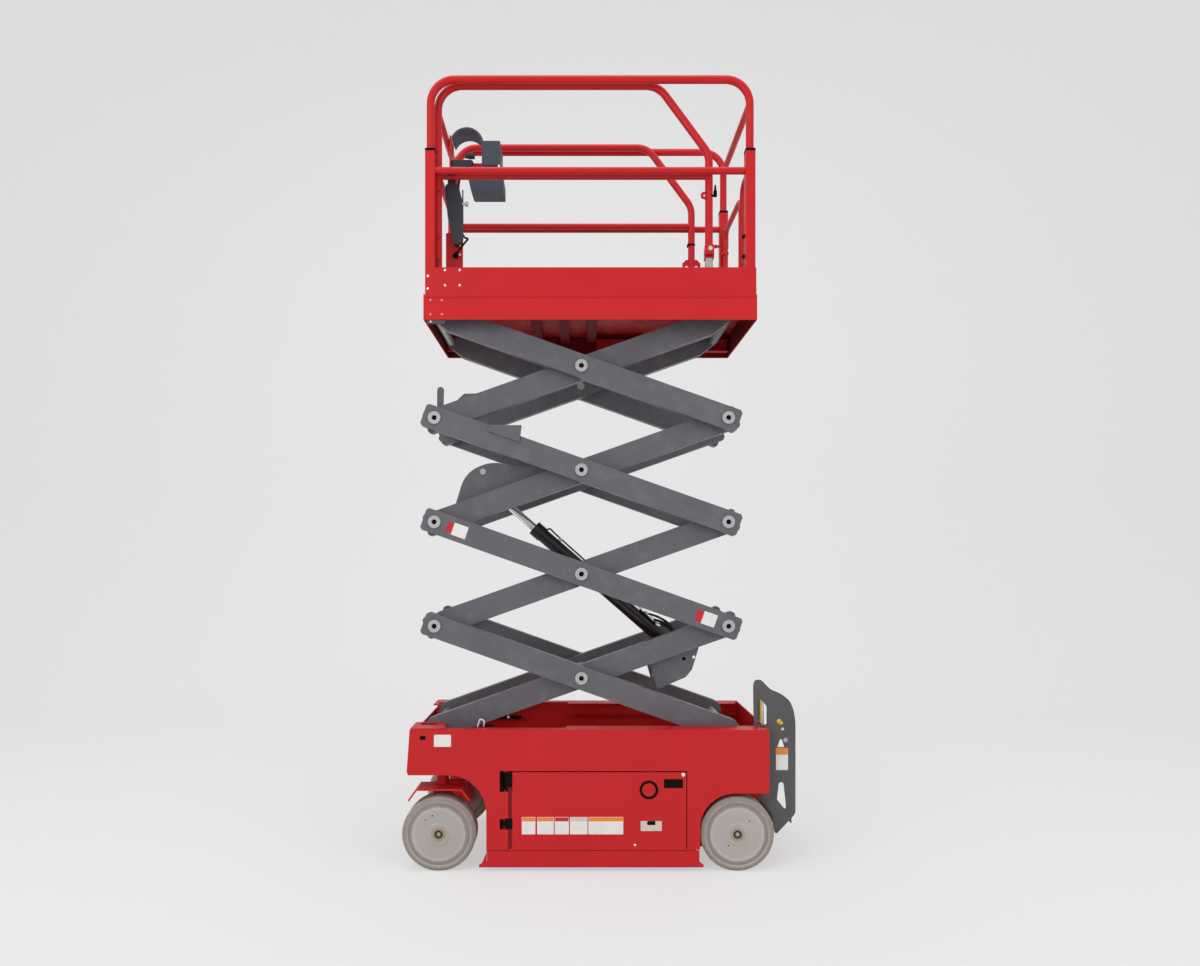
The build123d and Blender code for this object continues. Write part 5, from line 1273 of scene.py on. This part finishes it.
# ------------------------------------------------------------------------------------------------- ladder
@dataclass
class LadderDressing(Dressing):
    """Shaped near and far ladder sheets, with blank labels and dots on the near one.

    Attributes:
        fittings: yellow band on the far sheet, with its white stripe.
        near_edge: corners of the near sheet behind the chassis's rear and above its rim.
        far_edge: corners of the far sheet.
        window: corners of the hand opening.
        peep: corners of the small triangular hole.
        drop: middle distance, height and radius of the two circles that the long hole joins.
        ease: how far the corners of the edges, the window and the peep hole are set back.
        sheet: thickness.
        soft: rounding of the sheets' edges.
        label: the blank label.
        label_place: its middle behind the chassis and its height.
        label_width: its width.
        dots: each dot's place behind the chassis, height, radius and finish.
    """

    fittings: tuple[Fitting, ...] = tuple(
        Fitting(name, size, finish, "chassis", ("chassis_side_left+", "ladder_plates-", "chassis_side_left+"),
                ((along, 0.0062, -0.054),), near_seat, (-1,)) for name, size, finish, along in (
            ("far_sheet_strip", Panel(0.017, 0.145, 0.002, -0.0003, 0.0006, 0.0002), Finishes.YELLOW_LABEL, 0.126),
            ("far_sheet_strip_white", Panel(0.006, 0.140, 0.001, 0.0003, 0.0009, 0.0002), Finishes.WHITE_LABEL,
             0.131)))
    near_edge: tuple[Pair, ...] = (
        (-0.059, -0.006), (-0.062, 0.208), (-0.053, 0.228), (-0.024, 0.231), (0.021, 0.183), (0.071, 0.163),
        (0.116, 0.129), (0.137, 0.079), (0.145, 0.020), (0.145, -0.426), (0.049, -0.528), (0.037, -0.502),
        (0.032, -0.440), (0.0005, -0.335), (0.0005, -0.006))
    far_edge: tuple[Pair, ...] = (
        (0.0005, -0.150), (0.087, -0.150), (0.087, 0.103), (0.097, 0.118), (0.123, 0.118), (0.136, 0.103),
        (0.145, -0.426), (0.049, -0.528), (0.037, -0.502), (0.032, -0.440), (0.0005, -0.335))
    window: tuple[Pair, ...] = ((-0.041, 0.010), (-0.041, 0.126), (-0.025, 0.135), (0.004, 0.100), (0.004, 0.010))
    peep: tuple[Pair, ...] = ((0.056, -0.100), (0.091, -0.100), (0.079, -0.062), (0.069, -0.062))
    drop: tuple[Point, Point] = ((0.075, -0.285, 0.013), (0.075, -0.388, 0.024))
    ease: Point = (0.018, 0.008, 0.006)
    sheet: float = 0.006
    soft: float = 0.0006
    label: Label = Label(0.108, 0.032, 0.001, 0.0007)
    label_place: Pair = (0.0785, 0.522)
    label_width: float = 0.059
    dots: tuple[tuple[float, float, float, Finishes], ...] = (
        (0.0640, 0.7075, 0.0105, Finishes.YELLOW_LABEL), (0.0735, 0.6990, 0.0090, Finishes.YELLOW_LABEL),
        (0.0811, 0.6690, 0.0075, Finishes.LATCH), (0.0958, 0.6150, 0.0105, Finishes.COLLAR))

    def drop_hole(self) -> np.ndarray:
        """Edge of the long hole: half circles about its two centres, the upper one smaller."""
        turn = np.linspace(0.0, math.pi, 13)
        halves = [np.column_stack([x + way * radius * np.cos(turn), z + way * radius * np.sin(turn)])
                  for way, (x, z, radius) in zip((1, -1), self.drop)]
        return np.concatenate(halves)

    def sheets(self) -> None:
        """Both sheets, in place of the plain plates."""
        rear, _, top = high("chassis_side_left")
        rim = top - CORNER_RISE
        middle = abs(low("ladder_plates")[1]) - self.sheet / 2
        edge, opening, small = self.ease
        holes = [eased(self.window, opening), eased(self.peep, small), self.drop_hole()]
        sheets = [pierced(near_seat(rear, side * middle, rim), eased(corners, edge), openings, self.sheet, self.soft)
                  for side, corners, openings in ((-1, self.near_edge, holes), (1, self.far_edge, []))]
        piece = add("ladder_sheets", Shape.merged(*sheets), Finishes.LADDER, "chassis")
        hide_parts("ladder_plates")

    def build(self) -> None:
        """Make the sheets and put the label, its strip and the dots on the near one's outer face."""
        self.sheets()
        super().build()
        rear, face = high("chassis_side_left")[0], low("ladder_plates")[1]
        place = (rear + self.label_place[0], face, self.label_place[1])
        self.label.stick("ladder_label", place, self.label_width, Finishes.ORANGE_LABEL, "chassis")
        for number, (out, up, radius, finish) in enumerate(self.dots, 1):
            dot = Stud(((radius, -0.0003), (radius, 0.0005), (0.9 * radius, 0.0009)))
            add(f"ladder_dot_{number}", dot.on(side_seat(rear + out, face, up)), finish, "chassis")


# -------------------------------------------------------------------------------------------------- stack
@dataclass
class StackDressing(Dressing):
    """Painted shade and nipples in the pin sockets, blank labels on an arm, painted shade in the ram's lower plates'
    spare holes.

    Attributes:
        fittings: painted shade, a dark disc for the spare pin hole in both of the ram's lower plates.
        stages: stages of the stack.
        slope: angle of the arms.
        cup: painted shade, a dark disc at the bottom of the hole in each pin.
        socket_shade_depth: how deep it lies.
        nipple: grease nipple on it.
        arm_face: outer face of the outer arms, from the middle.
        labels: each label's middle from the left pin, its width, height and finish.
        label_lift: how far the white and the red labels stand out.
    """

    fittings: tuple[Fitting, ...] = (
        Fitting("lug_spare_holes", Stud(((0.0095, -0.0004), (0.0095, 0.0003), (0.0088, 0.0006))), Finishes.HOLE,
                "inner_1", ("ram_lug_lower+", "ram_lug_lower-", "ram_lug_lower+"), ((-0.077, 0.0, -0.105),),
                sides=(1, -1)),)
    stages: int = 4
    slope: float = math.radians(19.5)
    cup: Stud = Stud(((0.0122, -0.0008), (0.0122, 0.0008), (0.010, 0.0012)), 24)
    socket_shade_depth: float = 0.0205
    nipple: Stud = Stud(((0.0042, 0.0), (0.0042, 0.006), (0.0028, 0.008), (0.0028, 0.012), (0.0016, 0.0135)), 14)
    arm_face: float = 0.295
    labels: tuple[tuple[float, float, float, Finishes], ...] = (
        (0.0800, 0.034, 0.048, Finishes.RED_LABEL), (0.1330, 0.074, 0.062, Finishes.WHITE_LABEL),
        (1.3880, 0.034, 0.056, Finishes.RED_LABEL), (1.4390, 0.070, 0.064, Finishes.WHITE_LABEL))
    label_lift: Pair = (0.0006, 0.0010)

    def build(self) -> None:
        """Dress the pins, the arms and the ram's lower plates."""
        for stage in range(1, self.stages + 1):
            self.sockets(stage)
        self.arm_labels()
        super().build()

    def sockets(self, stage: int) -> None:
        """Painted shade at the bottom of every pin end that one stage's outer arms carry, and a grease nipple there.
        """
        cross = pivot(f"stage_{stage}_cross")
        places = [(cross[0], cross[2])]
        if stage < self.stages:
            left = pivot(f"stage_{stage + 1}_pivot")
            places.append((left[0], left[2]))
        if stage > 1:
            left = pivot(f"stage_{stage}_pivot")
            places.append((2 * cross[0] - left[0], left[2]))
        face = high("stage_pins_2")[1] - self.socket_shade_depth
        seats = [side_seat(x, side * face, z) for x, z in places for side in SIDES]
        # Painted shade: a dark disc deep in each pin's socket.
        add(f"pin_cups_{stage}", self.cup.on(*seats), Finishes.HOLE, f"outer_{stage}")
        add(f"pin_nipples_{stage}", self.nipple.on(*seats), Finishes.IRON, f"outer_{stage}")

    def arm_labels(self) -> None:
        """Blank labels on the near face of the second outer arm, tilted with it."""
        start = pivot("stage_3_pivot")
        white, red = self.label_lift
        for number, (along, width, height, finish) in enumerate(self.labels, 1):
            seat = side_seat(start[0] + along * math.cos(self.slope), -self.arm_face,
                             start[2] - along * math.sin(self.slope), -self.slope)
            lift = white if finish is Finishes.WHITE_LABEL else red
            add(f"arm_label_{number}", Panel(width, height, 0.003, -0.0003, lift, 0.0002).on(seat), finish, "outer_2")


@dataclass
class RamDressing:
    """Gland ring, oil pipe, fittings, clamp band and hoses of the lift ram.

    Stations are a distance along the ram from its lower pin, a height over the top of the barrel, and Y.

    Attributes:
        barrel: radius of the barrel.
        grip: how deep the gland ring and the band go into it.
        gland_at: foot of the gland ring.
        gland: how far the ring stands out, its height and its softened corners.
        band_at: foot of the clamp band.
        band: the same sizes of the band.
        pipe_r: radius of the oil pipe.
        pipe_route: corners of the pipe, from the port at the gland to the valve.
        pipe_bend: how far from a corner its bends start.
        clips: clips that hold it.
        clip: inside and outside of a clip from the pipe's surface, its two ends and its softened corners.
        union: six-sided union.
        unions: where the unions are.
        block: valve block.
        block_at: its middle.
        hose_r: radius of the hoses.
        hoses: route of each hose, which leaves the valve and loops over the foot of the barrel.
    """

    barrel: float = 0.0360
    grip: float = 0.002
    gland_at: float = 1.010
    gland: Point = (0.004, 0.016, 0.002)
    band_at: float = 0.125
    band: Point = (0.0025, 0.014, 0.001)
    pipe_r: float = 0.0045
    pipe_route: tuple[Point, ...] = ((0.985, -0.002, -0.006), (0.985, 0.016, -0.006), (0.945, 0.012, -0.012),
                                     (0.70, 0.008, -0.012), (0.40, 0.008, -0.012), (0.355, 0.012, -0.012))
    pipe_bend: float = 0.016
    clips: tuple[Point, ...] = ((0.90, 0.008, -0.012), (0.62, 0.008, -0.012))
    clip: tuple[float, ...] = (-0.0008, 0.0035, -0.008, 0.008, 0.0012)
    union: Stud = Stud(((0.0075, -0.012), (0.0090, -0.010), (0.0090, 0.004), (0.0070, 0.006), (0.0070, 0.014),
                        (0.005, 0.016)), 6)
    unions: tuple[Point, ...] = ((0.345, 0.013, -0.012), (0.300, 0.013, 0.014), (0.262, 0.008, -0.020),
                                 (0.225, 0.012, 0.004))
    block: Panel = Panel(0.110, 0.052, 0.006, 0.0, 0.008, 0.002)
    block_at: Point = (0.285, -0.001, 0.0)
    hose_r: float = 0.0062
    hoses: tuple[tuple[Point, ...], ...] = (
        ((0.255, 0.010, -0.020), (0.215, 0.028, -0.026), (0.160, 0.040, -0.028), (0.110, 0.026, -0.024),
         (0.078, -0.004, -0.014)),
        ((0.292, 0.014, 0.014), (0.240, 0.036, 0.012), (0.180, 0.046, 0.006), (0.125, 0.034, 0.002),
         (0.086, -0.002, 0.000)),
        ((0.218, 0.013, 0.004), (0.180, 0.026, 0.020), (0.140, 0.030, 0.028), (0.105, 0.016, 0.024),
         (0.082, -0.006, 0.016)))

    def __post_init__(self) -> None:
        """Find the ram's foot, its axis and the direction that is up from it."""
        axis = np.array(JOINTS["ram_extend"]["axis"], float)
        self.axis = axis / np.linalg.norm(axis)
        self.above = np.array([self.axis[2], 0.0, -self.axis[0]])
        self.foot = pivot("ram_tilt") * np.array([1.0, 0.0, 1.0])

    def spot(self, station: Point) -> np.ndarray:
        """Point at a station."""
        along, over, y = station
        return self.foot + along * self.axis + (self.barrel + over) * self.above + np.array([0.0, y, 0.0])

    def upward(self, station: Point) -> Seat:
        """Seat at a station, whose outward axis runs up the ram."""
        return Seat(tuple(map(float, self.spot(station))), tuple(map(float, self.above)), ALONG_Y)

    def build(self) -> None:
        """Make every fitting of the ram."""
        for name, foot, (out, height, soft), finish in (("ram_gland_ring", self.gland_at, self.gland, Finishes.RAM),
                                                        ("ram_band", self.band_at, self.band, Finishes.COLLAR)):
            seat = self.upward((foot, -self.barrel, 0.0))
            collar = ring(seat, self.barrel - self.grip, self.barrel + out, 0.0, height, soft)
            add(name, collar, finish, "ram_barrel")
        route = bent([self.spot(station) for station in self.pipe_route], self.pipe_bend)
        add("ram_oil_pipe", pipe(route, self.pipe_r, ALONG_Y), Finishes.HOSE, "ram_barrel")
        inner, outer, *ends = self.clip
        clips = [ring(self.upward(station), self.pipe_r + inner, self.pipe_r + outer, *ends)
                 for station in self.clips]
        add("ram_pipe_clips", Shape.merged(*clips), Finishes.COLLAR, "ram_barrel")
        add("ram_unions", self.union.on(*map(self.upward, self.unions)), Finishes.BRIGHT, "ram_barrel")
        top = Seat(tuple(map(float, self.spot(self.block_at))), tuple(map(float, self.axis)), (0.0, -1.0, 0.0))
        add("ram_valve_block", self.block.on(top), Finishes.RAM, "ram_barrel")
        for number, stations in enumerate(self.hoses, 1):
            hose = pipe(flowing([self.spot(station) for station in stations]), self.hose_r, ALONG_Y)
            add(f"ram_hose_{number}", hose, Finishes.HOSE, "ram_barrel")


# ----------------------------------------------------------------------------------------------- platform
BOARD: Ends = ("toe_boards-", "toe_boards-", "toe_boards+")
SKIRT: Ends = ("deck_frame-", "deck_frame-", "deck_frame+")
SKIRT_FOOT: Ends = ("deck_frame-", "deck_frame-", "deck_frame-")
DECK: Ends = ("deck_floor-", "", "deck_floor+")
BOX_MIDDLE: Ends = ("control_box+", "", "control_box-")
RAIL_FOOT: Ends = ("extension_rails-", "", "extension_deck+")


@dataclass
class PlatformDressing(Dressing):
    """Bolts of the toe boards and skirt, the red lip along the skirt's bottom edge, the small bracket and the posts'
    holes as painted shade.

    Attributes:
        fittings: all of them but the lip.
        lip_height: strip along the bottom edge of the skirt.
        lip_short: how much shorter than the skirt it is.
    """

    fittings: tuple[Fitting, ...] = (
        Fitting("toe_board_bolts", Head(0.0062, 0.0042), Finishes.BRIGHT, "platform", BOARD,
                ((0.010, 0.0, -0.042), (0.010, 0.0, -0.103), (0.093, 0.0, -0.0135), (0.093, 0.0, -0.087),
                 (0.164, 0.0, -0.0135), (0.164, 0.0, -0.087)), sides=(1, -1)),
        Fitting("skirt_bolts", Head(0.0050, 0.0024), Finishes.COLLAR, "platform", SKIRT,
                ((0.0336, 0.0, -0.0232), (0.0896, 0.0, -0.0232), (0.0336, 0.0, -0.0922), (0.0896, 0.0, -0.0922)),
                sides=(1, -1)),
        Fitting("skirt_bracket", Panel(0.088, 0.020, 0.004, -0.004, 0.004, 0.0012), Finishes.LADDER, "platform",
                SKIRT_FOOT, ((0.060, 0.010, -0.0065),)),
        Fitting("skirt_bracket_bolt", Head(0.0055, 0.003), Finishes.BRIGHT, "platform", SKIRT_FOOT,
                ((0.034, 0.006, -0.0065),)),
        # Dark dots of painted shade for the holes in the corner posts.
        Fitting("corner_post_holes", Head(0.0042, 0.0006, 12), Finishes.HOLE, "extension",
                ("extension_rails-", "", "deck_floor+"),
                ((0.025, -0.3285, 0.183), (0.025, -0.3285, 0.291), (0.025, -0.3285, 0.520)), sides=(1, -1)))
    lip_height: float = 0.009
    lip_short: float = 0.03

    def build(self) -> None:
        """Make every small piece of the deck's edge, and the lip along the near and far skirt."""
        super().build()
        first, last = low("deck_frame"), high("deck_frame")
        strip = Panel(last[0] - first[0] - self.lip_short, self.lip_height, 0.002, -0.0003, 0.0012, 0.0004)
        seats = [side_seat((first[0] + last[0]) / 2, side * abs(first[1]), first[2] + self.lip_height / 2)
                 for side in SIDES]
        add("skirt_lip", strip.on(*seats), Finishes.RED, "platform")


@dataclass
class RailHardware(Dressing):
    """Sleeve gaskets, latch box, T handle and hook of the guard rails.

    Attributes:
        fittings: the catch that holds the extension, with its band and pin, and the collar round the far leg.
        sleeve: width of the posts that the rails slide over.
        gasket: dark band round each sleeve's top.
        handle: T handle from the deck's left end, its middle and its top.
        handle_bar: the two ends of its bar from there, along and up.
        bar_radius: the bar's radius.
        grip: its grip.
        grip_foot: the grip's foot from there, along and up.
        hook_path: corners of the lanyard hook from there, along and up.
        hook_bend: how far from a corner its bends start.
        hook_radius: the hook's radius.
    """

    fittings: tuple[Fitting, ...] = (
        Fitting("catch_box", Panel(0.046, 0.050, 0.006, -0.0015, 0.0190, 0.003), Finishes.RED, "extension", DECK,
                ((1.388, -0.3285, 0.230),)),
        Fitting("catch_band", Panel(0.032, 0.050, 0.003, -0.0015, 0.0030, 0.001), Finishes.COLLAR, "extension", DECK,
                ((1.388, -0.3285, 0.168),)),
        Fitting("catch_pin", Stud(((0.011, -0.001), (0.011, 0.002), (0.009, 0.004)), 24), Finishes.LATCH, "extension",
                DECK, ((1.392, -0.3475, 0.234),)),
        Fitting("leg_collar", Panel(0.0435, 0.0435, 0.006, 0.0, 0.010, 0.002), Finishes.HOLE, "extension", DECK,
                ((1.388, 0.306, 0.490),), top_seat))
    sleeve: float = 0.046
    gasket: Panel = Panel(0.049, 0.049, 0.005, -0.009, 0.0025, 0.001)
    handle: Point = (1.414, -0.318, 0.507)
    handle_bar: tuple[Pair, Pair] = ((-0.020, -0.004), (0.014, -0.004))
    bar_radius: float = 0.0055
    grip: Stud = Stud(((0.0070, 0.0), (0.0090, 0.006), (0.0090, 0.026), (0.0060, 0.034), (0.0040, 0.058)))
    grip_foot: Pair = (0.006, -0.010)
    hook_path: tuple[Pair, ...] = ((-0.040, 0.010), (-0.058, 0.006), (-0.060, -0.012), (-0.040, -0.016))
    hook_bend: float = 0.008
    hook_radius: float = 0.0068

    def build(self) -> None:
        """Make the gaskets on the four posts, the catch, the T handle on the near rear leg and the hook beside it."""
        first, last = low("rail_posts"), high("rail_posts")
        half = self.sleeve / 2
        tops = [top_seat(x, y, last[2]) for x in (first[0] + half, last[0] - half)
                for y in (first[1] + half, last[1] - half)]
        add("sleeve_gaskets", self.gasket.on(*tops), Finishes.HOLE, "platform")
        super().build()
        x, y, z = anchor(DECK) + np.array(self.handle)
        bar = pipe([(x + along, y, z + over) for along, over in self.handle_bar], self.bar_radius, ALONG_Y)
        grip = self.grip.on(top_seat(x + self.grip_foot[0], y, z + self.grip_foot[1]))
        add("catch_handle", Shape.merged(bar, grip), Finishes.HOLE, "extension")
        hook = bent([(x + along, y, z + over) for along, over in self.hook_path], self.hook_bend)
        add("lanyard_hook", pipe(hook, self.hook_radius, ALONG_Y), Finishes.RED, "extension")


@dataclass
class GateHardware(Dressing):
    """Knuckle, collars, stop and stop knobs of the gate.

    Attributes:
        fittings: all of them but the collars.
        collar: hinge collar.
        collar_drop: the collars' feet below the gate's top and below its bottom.
    """

    fittings: tuple[Fitting, ...] = (
        Fitting("gate_stop_knobs", Stud(((0.005, -0.012), (0.006, 0.002), (0.0095, 0.004), (0.0095, 0.012),
                                         (0.00665, 0.017))), Finishes.HOLE, "platform",
                ("rail_posts+", "", "deck_floor+"), ((-0.048, -0.3345, 0.196), (-0.048, -0.3345, 0.2935))),
        Fitting("gate_knuckle", Stud(((0.0160, 0.0), (0.0165, 0.001), (0.0165, 0.083), (0.0150, 0.085)), 32),
                Finishes.RED, "gate", ("gate_swing", "gate_swing", "gate+"), ((0.0, 0.0, -0.107),), top_seat),
        Fitting("gate_stop", Stud(((0.007, -0.002), (0.007, 0.016), (0.011, 0.018), (0.011, 0.027), (0.008, 0.030)),
                                  24), Finishes.RED, "platform", ("rail_posts+", "", "gate+"),
                ((-0.0455, 0.345, -0.084),), left_seat))
    collar: Stud = Stud(((0.0165, 0.0), (0.0165, 0.0015), (0.0150, 0.0025)), 32)
    collar_drop: Pair = (0.0005, 0.0020)

    def build(self) -> None:
        """Make the knobs, the knuckle and the stop, and a collar at each end of the hinge."""
        super().build()
        x, y, _ = pivot("gate_swing")
        ends = zip((high("gate")[2], low("gate")[2]), self.collar_drop)
        add("gate_collars", self.collar.on(*(top_seat(x, y, z - drop) for z, drop in ends)), Finishes.COLLAR, "gate")


@dataclass
class ControlDressing(Dressing):
    """Joystick, switches, saddle, holder rod, cover plate and cable of the control box.

    Attributes:
        fittings: all of them but the cable and the rod.
        cable: radius of the control cable, which leaves the plate's plug in a loop and goes up behind the holder.
        cable_route: what it goes through from the foot of the extension's left rail.
        cable_end: the rest, with the height over the mount's bottom.
        rod: radius of the rod on the manual holder.
        rod_place: the rod right of the holder and from the middle of the deck.
        rod_ends: its ends over the holder's bottom and below its top.
    """

    fittings: tuple[Fitting, ...] = (
        Fitting("stop_button", Stud(((0.008, -0.001), (0.008, 0.010), (0.0175, 0.012), (0.0175, 0.018),
                                     (0.01225, 0.023)), 36), Finishes.RED, "extension", BOX_MIDDLE,
                ((-0.062, 0.024, 0.127),), top_seat),
        Fitting("joystick", Stud(((0.019, -0.001), (0.017, 0.006), (0.010, 0.012), (0.006, 0.020), (0.006, 0.034),
                                  (0.011, 0.040), (0.011, 0.054), (0.006, 0.060)), 32), Finishes.HOLE, "extension",
                BOX_MIDDLE, ((-0.066, -0.030, 0.127),), top_seat),
        Fitting("box_screw", Head(0.0065, 0.002), Finishes.BRIGHT, "extension",
                ("control_box+", "control_box-", "control_box-"), ((-0.0226, 0.0, 0.127),)),
        Fitting("control_saddle", Panel(0.118, 0.088, 0.012, 0.0, 0.048, 0.006), Finishes.CASE, "extension",
                ("control_mount-", "", "control_mount-"), ((0.062, 0.0, -0.004),), top_seat),
        Fitting("control_plug", Stud(((0.013, 0.0), (0.015, 0.004), (0.015, 0.030), (0.012, 0.034), (0.012, 0.046),
                                      (0.008, 0.050))), Finishes.CASE, "extension",
                ("control_box-", "", "control_mount-"), ((0.118, -0.040, 0.062),), left_seat),
        Fitting("cable_cover", Panel(0.085, 0.242, 0.005, -0.002, 0.002, 0.0008), Finishes.RED, "extension",
                RAIL_FOOT, ((0.0895, -0.241, 0.121),)),
        Fitting("cable_cover_screws", Head(0.0055, 0.003), Finishes.BRIGHT, "extension", RAIL_FOOT,
                ((0.117, -0.243, 0.1775), (0.117, -0.243, 0.1325))),
        Fitting("cable_plug", Stud(((0.014, -0.001), (0.014, 0.004), (0.010, 0.006), (0.010, 0.018),
                                    (0.007, 0.022))), Finishes.HOLE, "extension", RAIL_FOOT,
                ((0.095, -0.243, 0.127),)),
        Fitting("holder_knob", Stud(((0.006, -0.006), (0.006, 0.008), (0.0125, 0.010), (0.0125, 0.021),
                                     (0.009, 0.025))), Finishes.COLLAR, "extension",
                ("document_holder+", "", "document_holder-"), ((0.0065, -0.288, 0.197),), right_seat))
    cable: float = 0.0050
    cable_route: tuple[Point, ...] = (
        (0.095, -0.258, 0.127), (0.095, -0.276, 0.125), (0.113, -0.284, 0.133), (0.143, -0.276, 0.177),
        (0.155, -0.235, 0.215), (0.131, -0.195, 0.242), (0.101, -0.170, 0.317), (0.091, -0.150, 0.457),
        (0.099, -0.100, 0.587))
    cable_end: tuple[Point, ...] = ((0.121, -0.055, -0.012), (0.131, -0.040, 0.006))
    rod: float = 0.0032
    rod_place: Pair = (0.0045, -0.288)
    rod_ends: Pair = (0.018, 0.081)

    def build(self) -> None:
        """Make the switches and plates, the cable up to the mount, and the rod that keeps the holder shut."""
        super().build()
        mount: Ends = ("extension_rails-", "", "control_mount-")
        route = np.concatenate([anchor(RAIL_FOOT) + self.cable_route, anchor(mount) + self.cable_end])
        add("control_cable", pipe(flowing(route), self.cable, (0.3, 0.2, 0.9)), Finishes.HOLE, "extension")
        first, last = low("document_holder"), high("document_holder")
        x, y = last[0] + self.rod_place[0], self.rod_place[1]
        path = [(x, y, first[2] + self.rod_ends[0]), (x, y, last[2] - self.rod_ends[1])]
        add("holder_rod", pipe(path, self.rod, ALONG_X), Finishes.CASE, "extension")


# ---------------------------------------------------------------------------------------------------- set
@dataclass
class Studio:
    """Floor sweep, soft lamps, world and camera.

    Attributes:
        camera_x: sideways place of the camera.
        camera_y: how far in front of the machine it stands.
        camera_z: its height.
        lens_mm: focal length on a 36 mm wide sensor.
        shift: sideways and upward shift of the frame.
        floor_start: where the floor begins to bend up, behind the machine.
        floor_bend: radius of the bend.
        wall_top: top of the wall.
        floor_half: half the width of the floor, and how far it reaches in front.
        lamps: each lamp's name, place, edge length and watts. They aim at the middle of the machine.
        aims: height that each lamp aims at.
        sky: strength of the even world.
    """

    camera_x: float = -0.11825
    camera_y: float = -4.335
    camera_z: float = 1.510
    lens_mm: float = 24.5625
    shift: tuple[float, float] = (0.020, 0.0617)
    floor_start: float = 3.2
    floor_bend: float = 2.4
    wall_top: float = 24.0
    floor_half: float = 45.0
    lamps: tuple[tuple[str, Point, float, float], ...] = (
        ("lamp_over", (-0.5, -0.8, 7.0), 5.0, 150.0), ("lamp_front_left", (-4.2, -5.0, 3.6), 3.0, 110.0),
        ("lamp_front_right", (4.6, -4.6, 3.0), 3.0, 80.0))
    aims: Point = (1.5, 1.8, 1.8)
    sky: float = 0.62

    def camera(self) -> None:
        """Level camera that looks along +Y."""
        data = bpy.data.cameras.new("camera")
        data.sensor_width = 36.0
        data.lens = self.lens_mm
        data.shift_x, data.shift_y = self.shift
        data.clip_end = 100.0
        holder = bpy.data.objects.new("camera", data)
        bpy.context.scene.collection.objects.link(holder)
        holder.location = (self.camera_x, self.camera_y, self.camera_z)
        holder.rotation_euler = (math.pi / 2, 0.0, 0.0)
        bpy.context.scene.camera = holder

    def sweep(self) -> None:
        """Pale floor that curves up into the wall behind: a profile in Y and Z carried along X."""
        turn = np.linspace(0.0, math.pi / 2, 25)
        arc_y = self.floor_start + self.floor_bend * np.sin(turn)
        arc_z = self.floor_bend - self.floor_bend * np.cos(turn)
        y = np.concatenate([[-self.floor_half], arc_y, [self.floor_start + self.floor_bend]])
        z = np.concatenate([[0.0], arc_z, [self.wall_top]])
        x = np.array([-self.floor_half, self.floor_half])
        points = np.stack([np.repeat(x, len(y)), np.tile(y, 2), np.tile(z, 2)], axis=1)
        lower = np.arange(len(y) - 1)
        faces = np.stack([lower, lower + len(y), lower + len(y) + 1, lower + 1], axis=1)
        mesh = bpy.data.meshes.new("floor_sweep")
        mesh.from_pydata(points.tolist(), [], faces.tolist())
        mesh.shade_smooth()
        mesh.materials.append(Finishes.SET.value.build())
        floor = bpy.data.objects.new("floor_sweep", mesh)
        bpy.context.scene.collection.objects.link(floor)

    def lamp(self, name: str, place: Point, size: float, watts: float, aim: float) -> None:
        """Square soft lamp turned to face the middle of the machine.

        Args:
            name: object name.
            place: where it hangs.
            size: edge length.
            watts: power.
            aim: height of the point that it faces.
        """
        data = bpy.data.lights.new(name, "AREA")
        data.shape = "SQUARE"
        data.size = size
        data.energy = watts
        holder = bpy.data.objects.new(name, data)
        bpy.context.scene.collection.objects.link(holder)
        holder.location = place
        holder.rotation_euler = (Vector((0.0, 0.0, aim)) - Vector(place)).to_track_quat("-Z", "Y").to_euler()

    def lights(self) -> None:
        """Soft lamps above and in front, and an even world."""
        for lamp, aim in zip(self.lamps, self.aims):
            self.lamp(*lamp, aim)
        world = bpy.data.worlds.new("even_sky")
        bpy.context.scene.world = world
        world.use_nodes = True
        sky = world.node_tree.nodes["Background"]
        sky.inputs["Color"].default_value = (1.0, 1.0, 1.0, 1.0)
        sky.inputs["Strength"].default_value = self.sky

    def build(self) -> None:
        """Put up the whole set."""
        bpy.context.scene.view_settings.view_transform = "Standard"
        self.camera()
        self.sweep()
        self.lights()
        log.info("set is up")


def main() -> None:
    """Dress the machine, one sub-assembly after another."""
    logging.basicConfig(level=logging.INFO, format="%(name)s: %(message)s")
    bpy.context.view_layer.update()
    Studio().build()
    SolidDresser().dress()
    for dressing in (ChassisDressing(), DoorDressing(), HubDressing(), LadderDressing(), StackDressing(),
                     RamDressing(), PlatformDressing(), RailHardware(), GateHardware(), ControlDressing()):
        dressing.build()


if __name__ == "__main__":
    main()
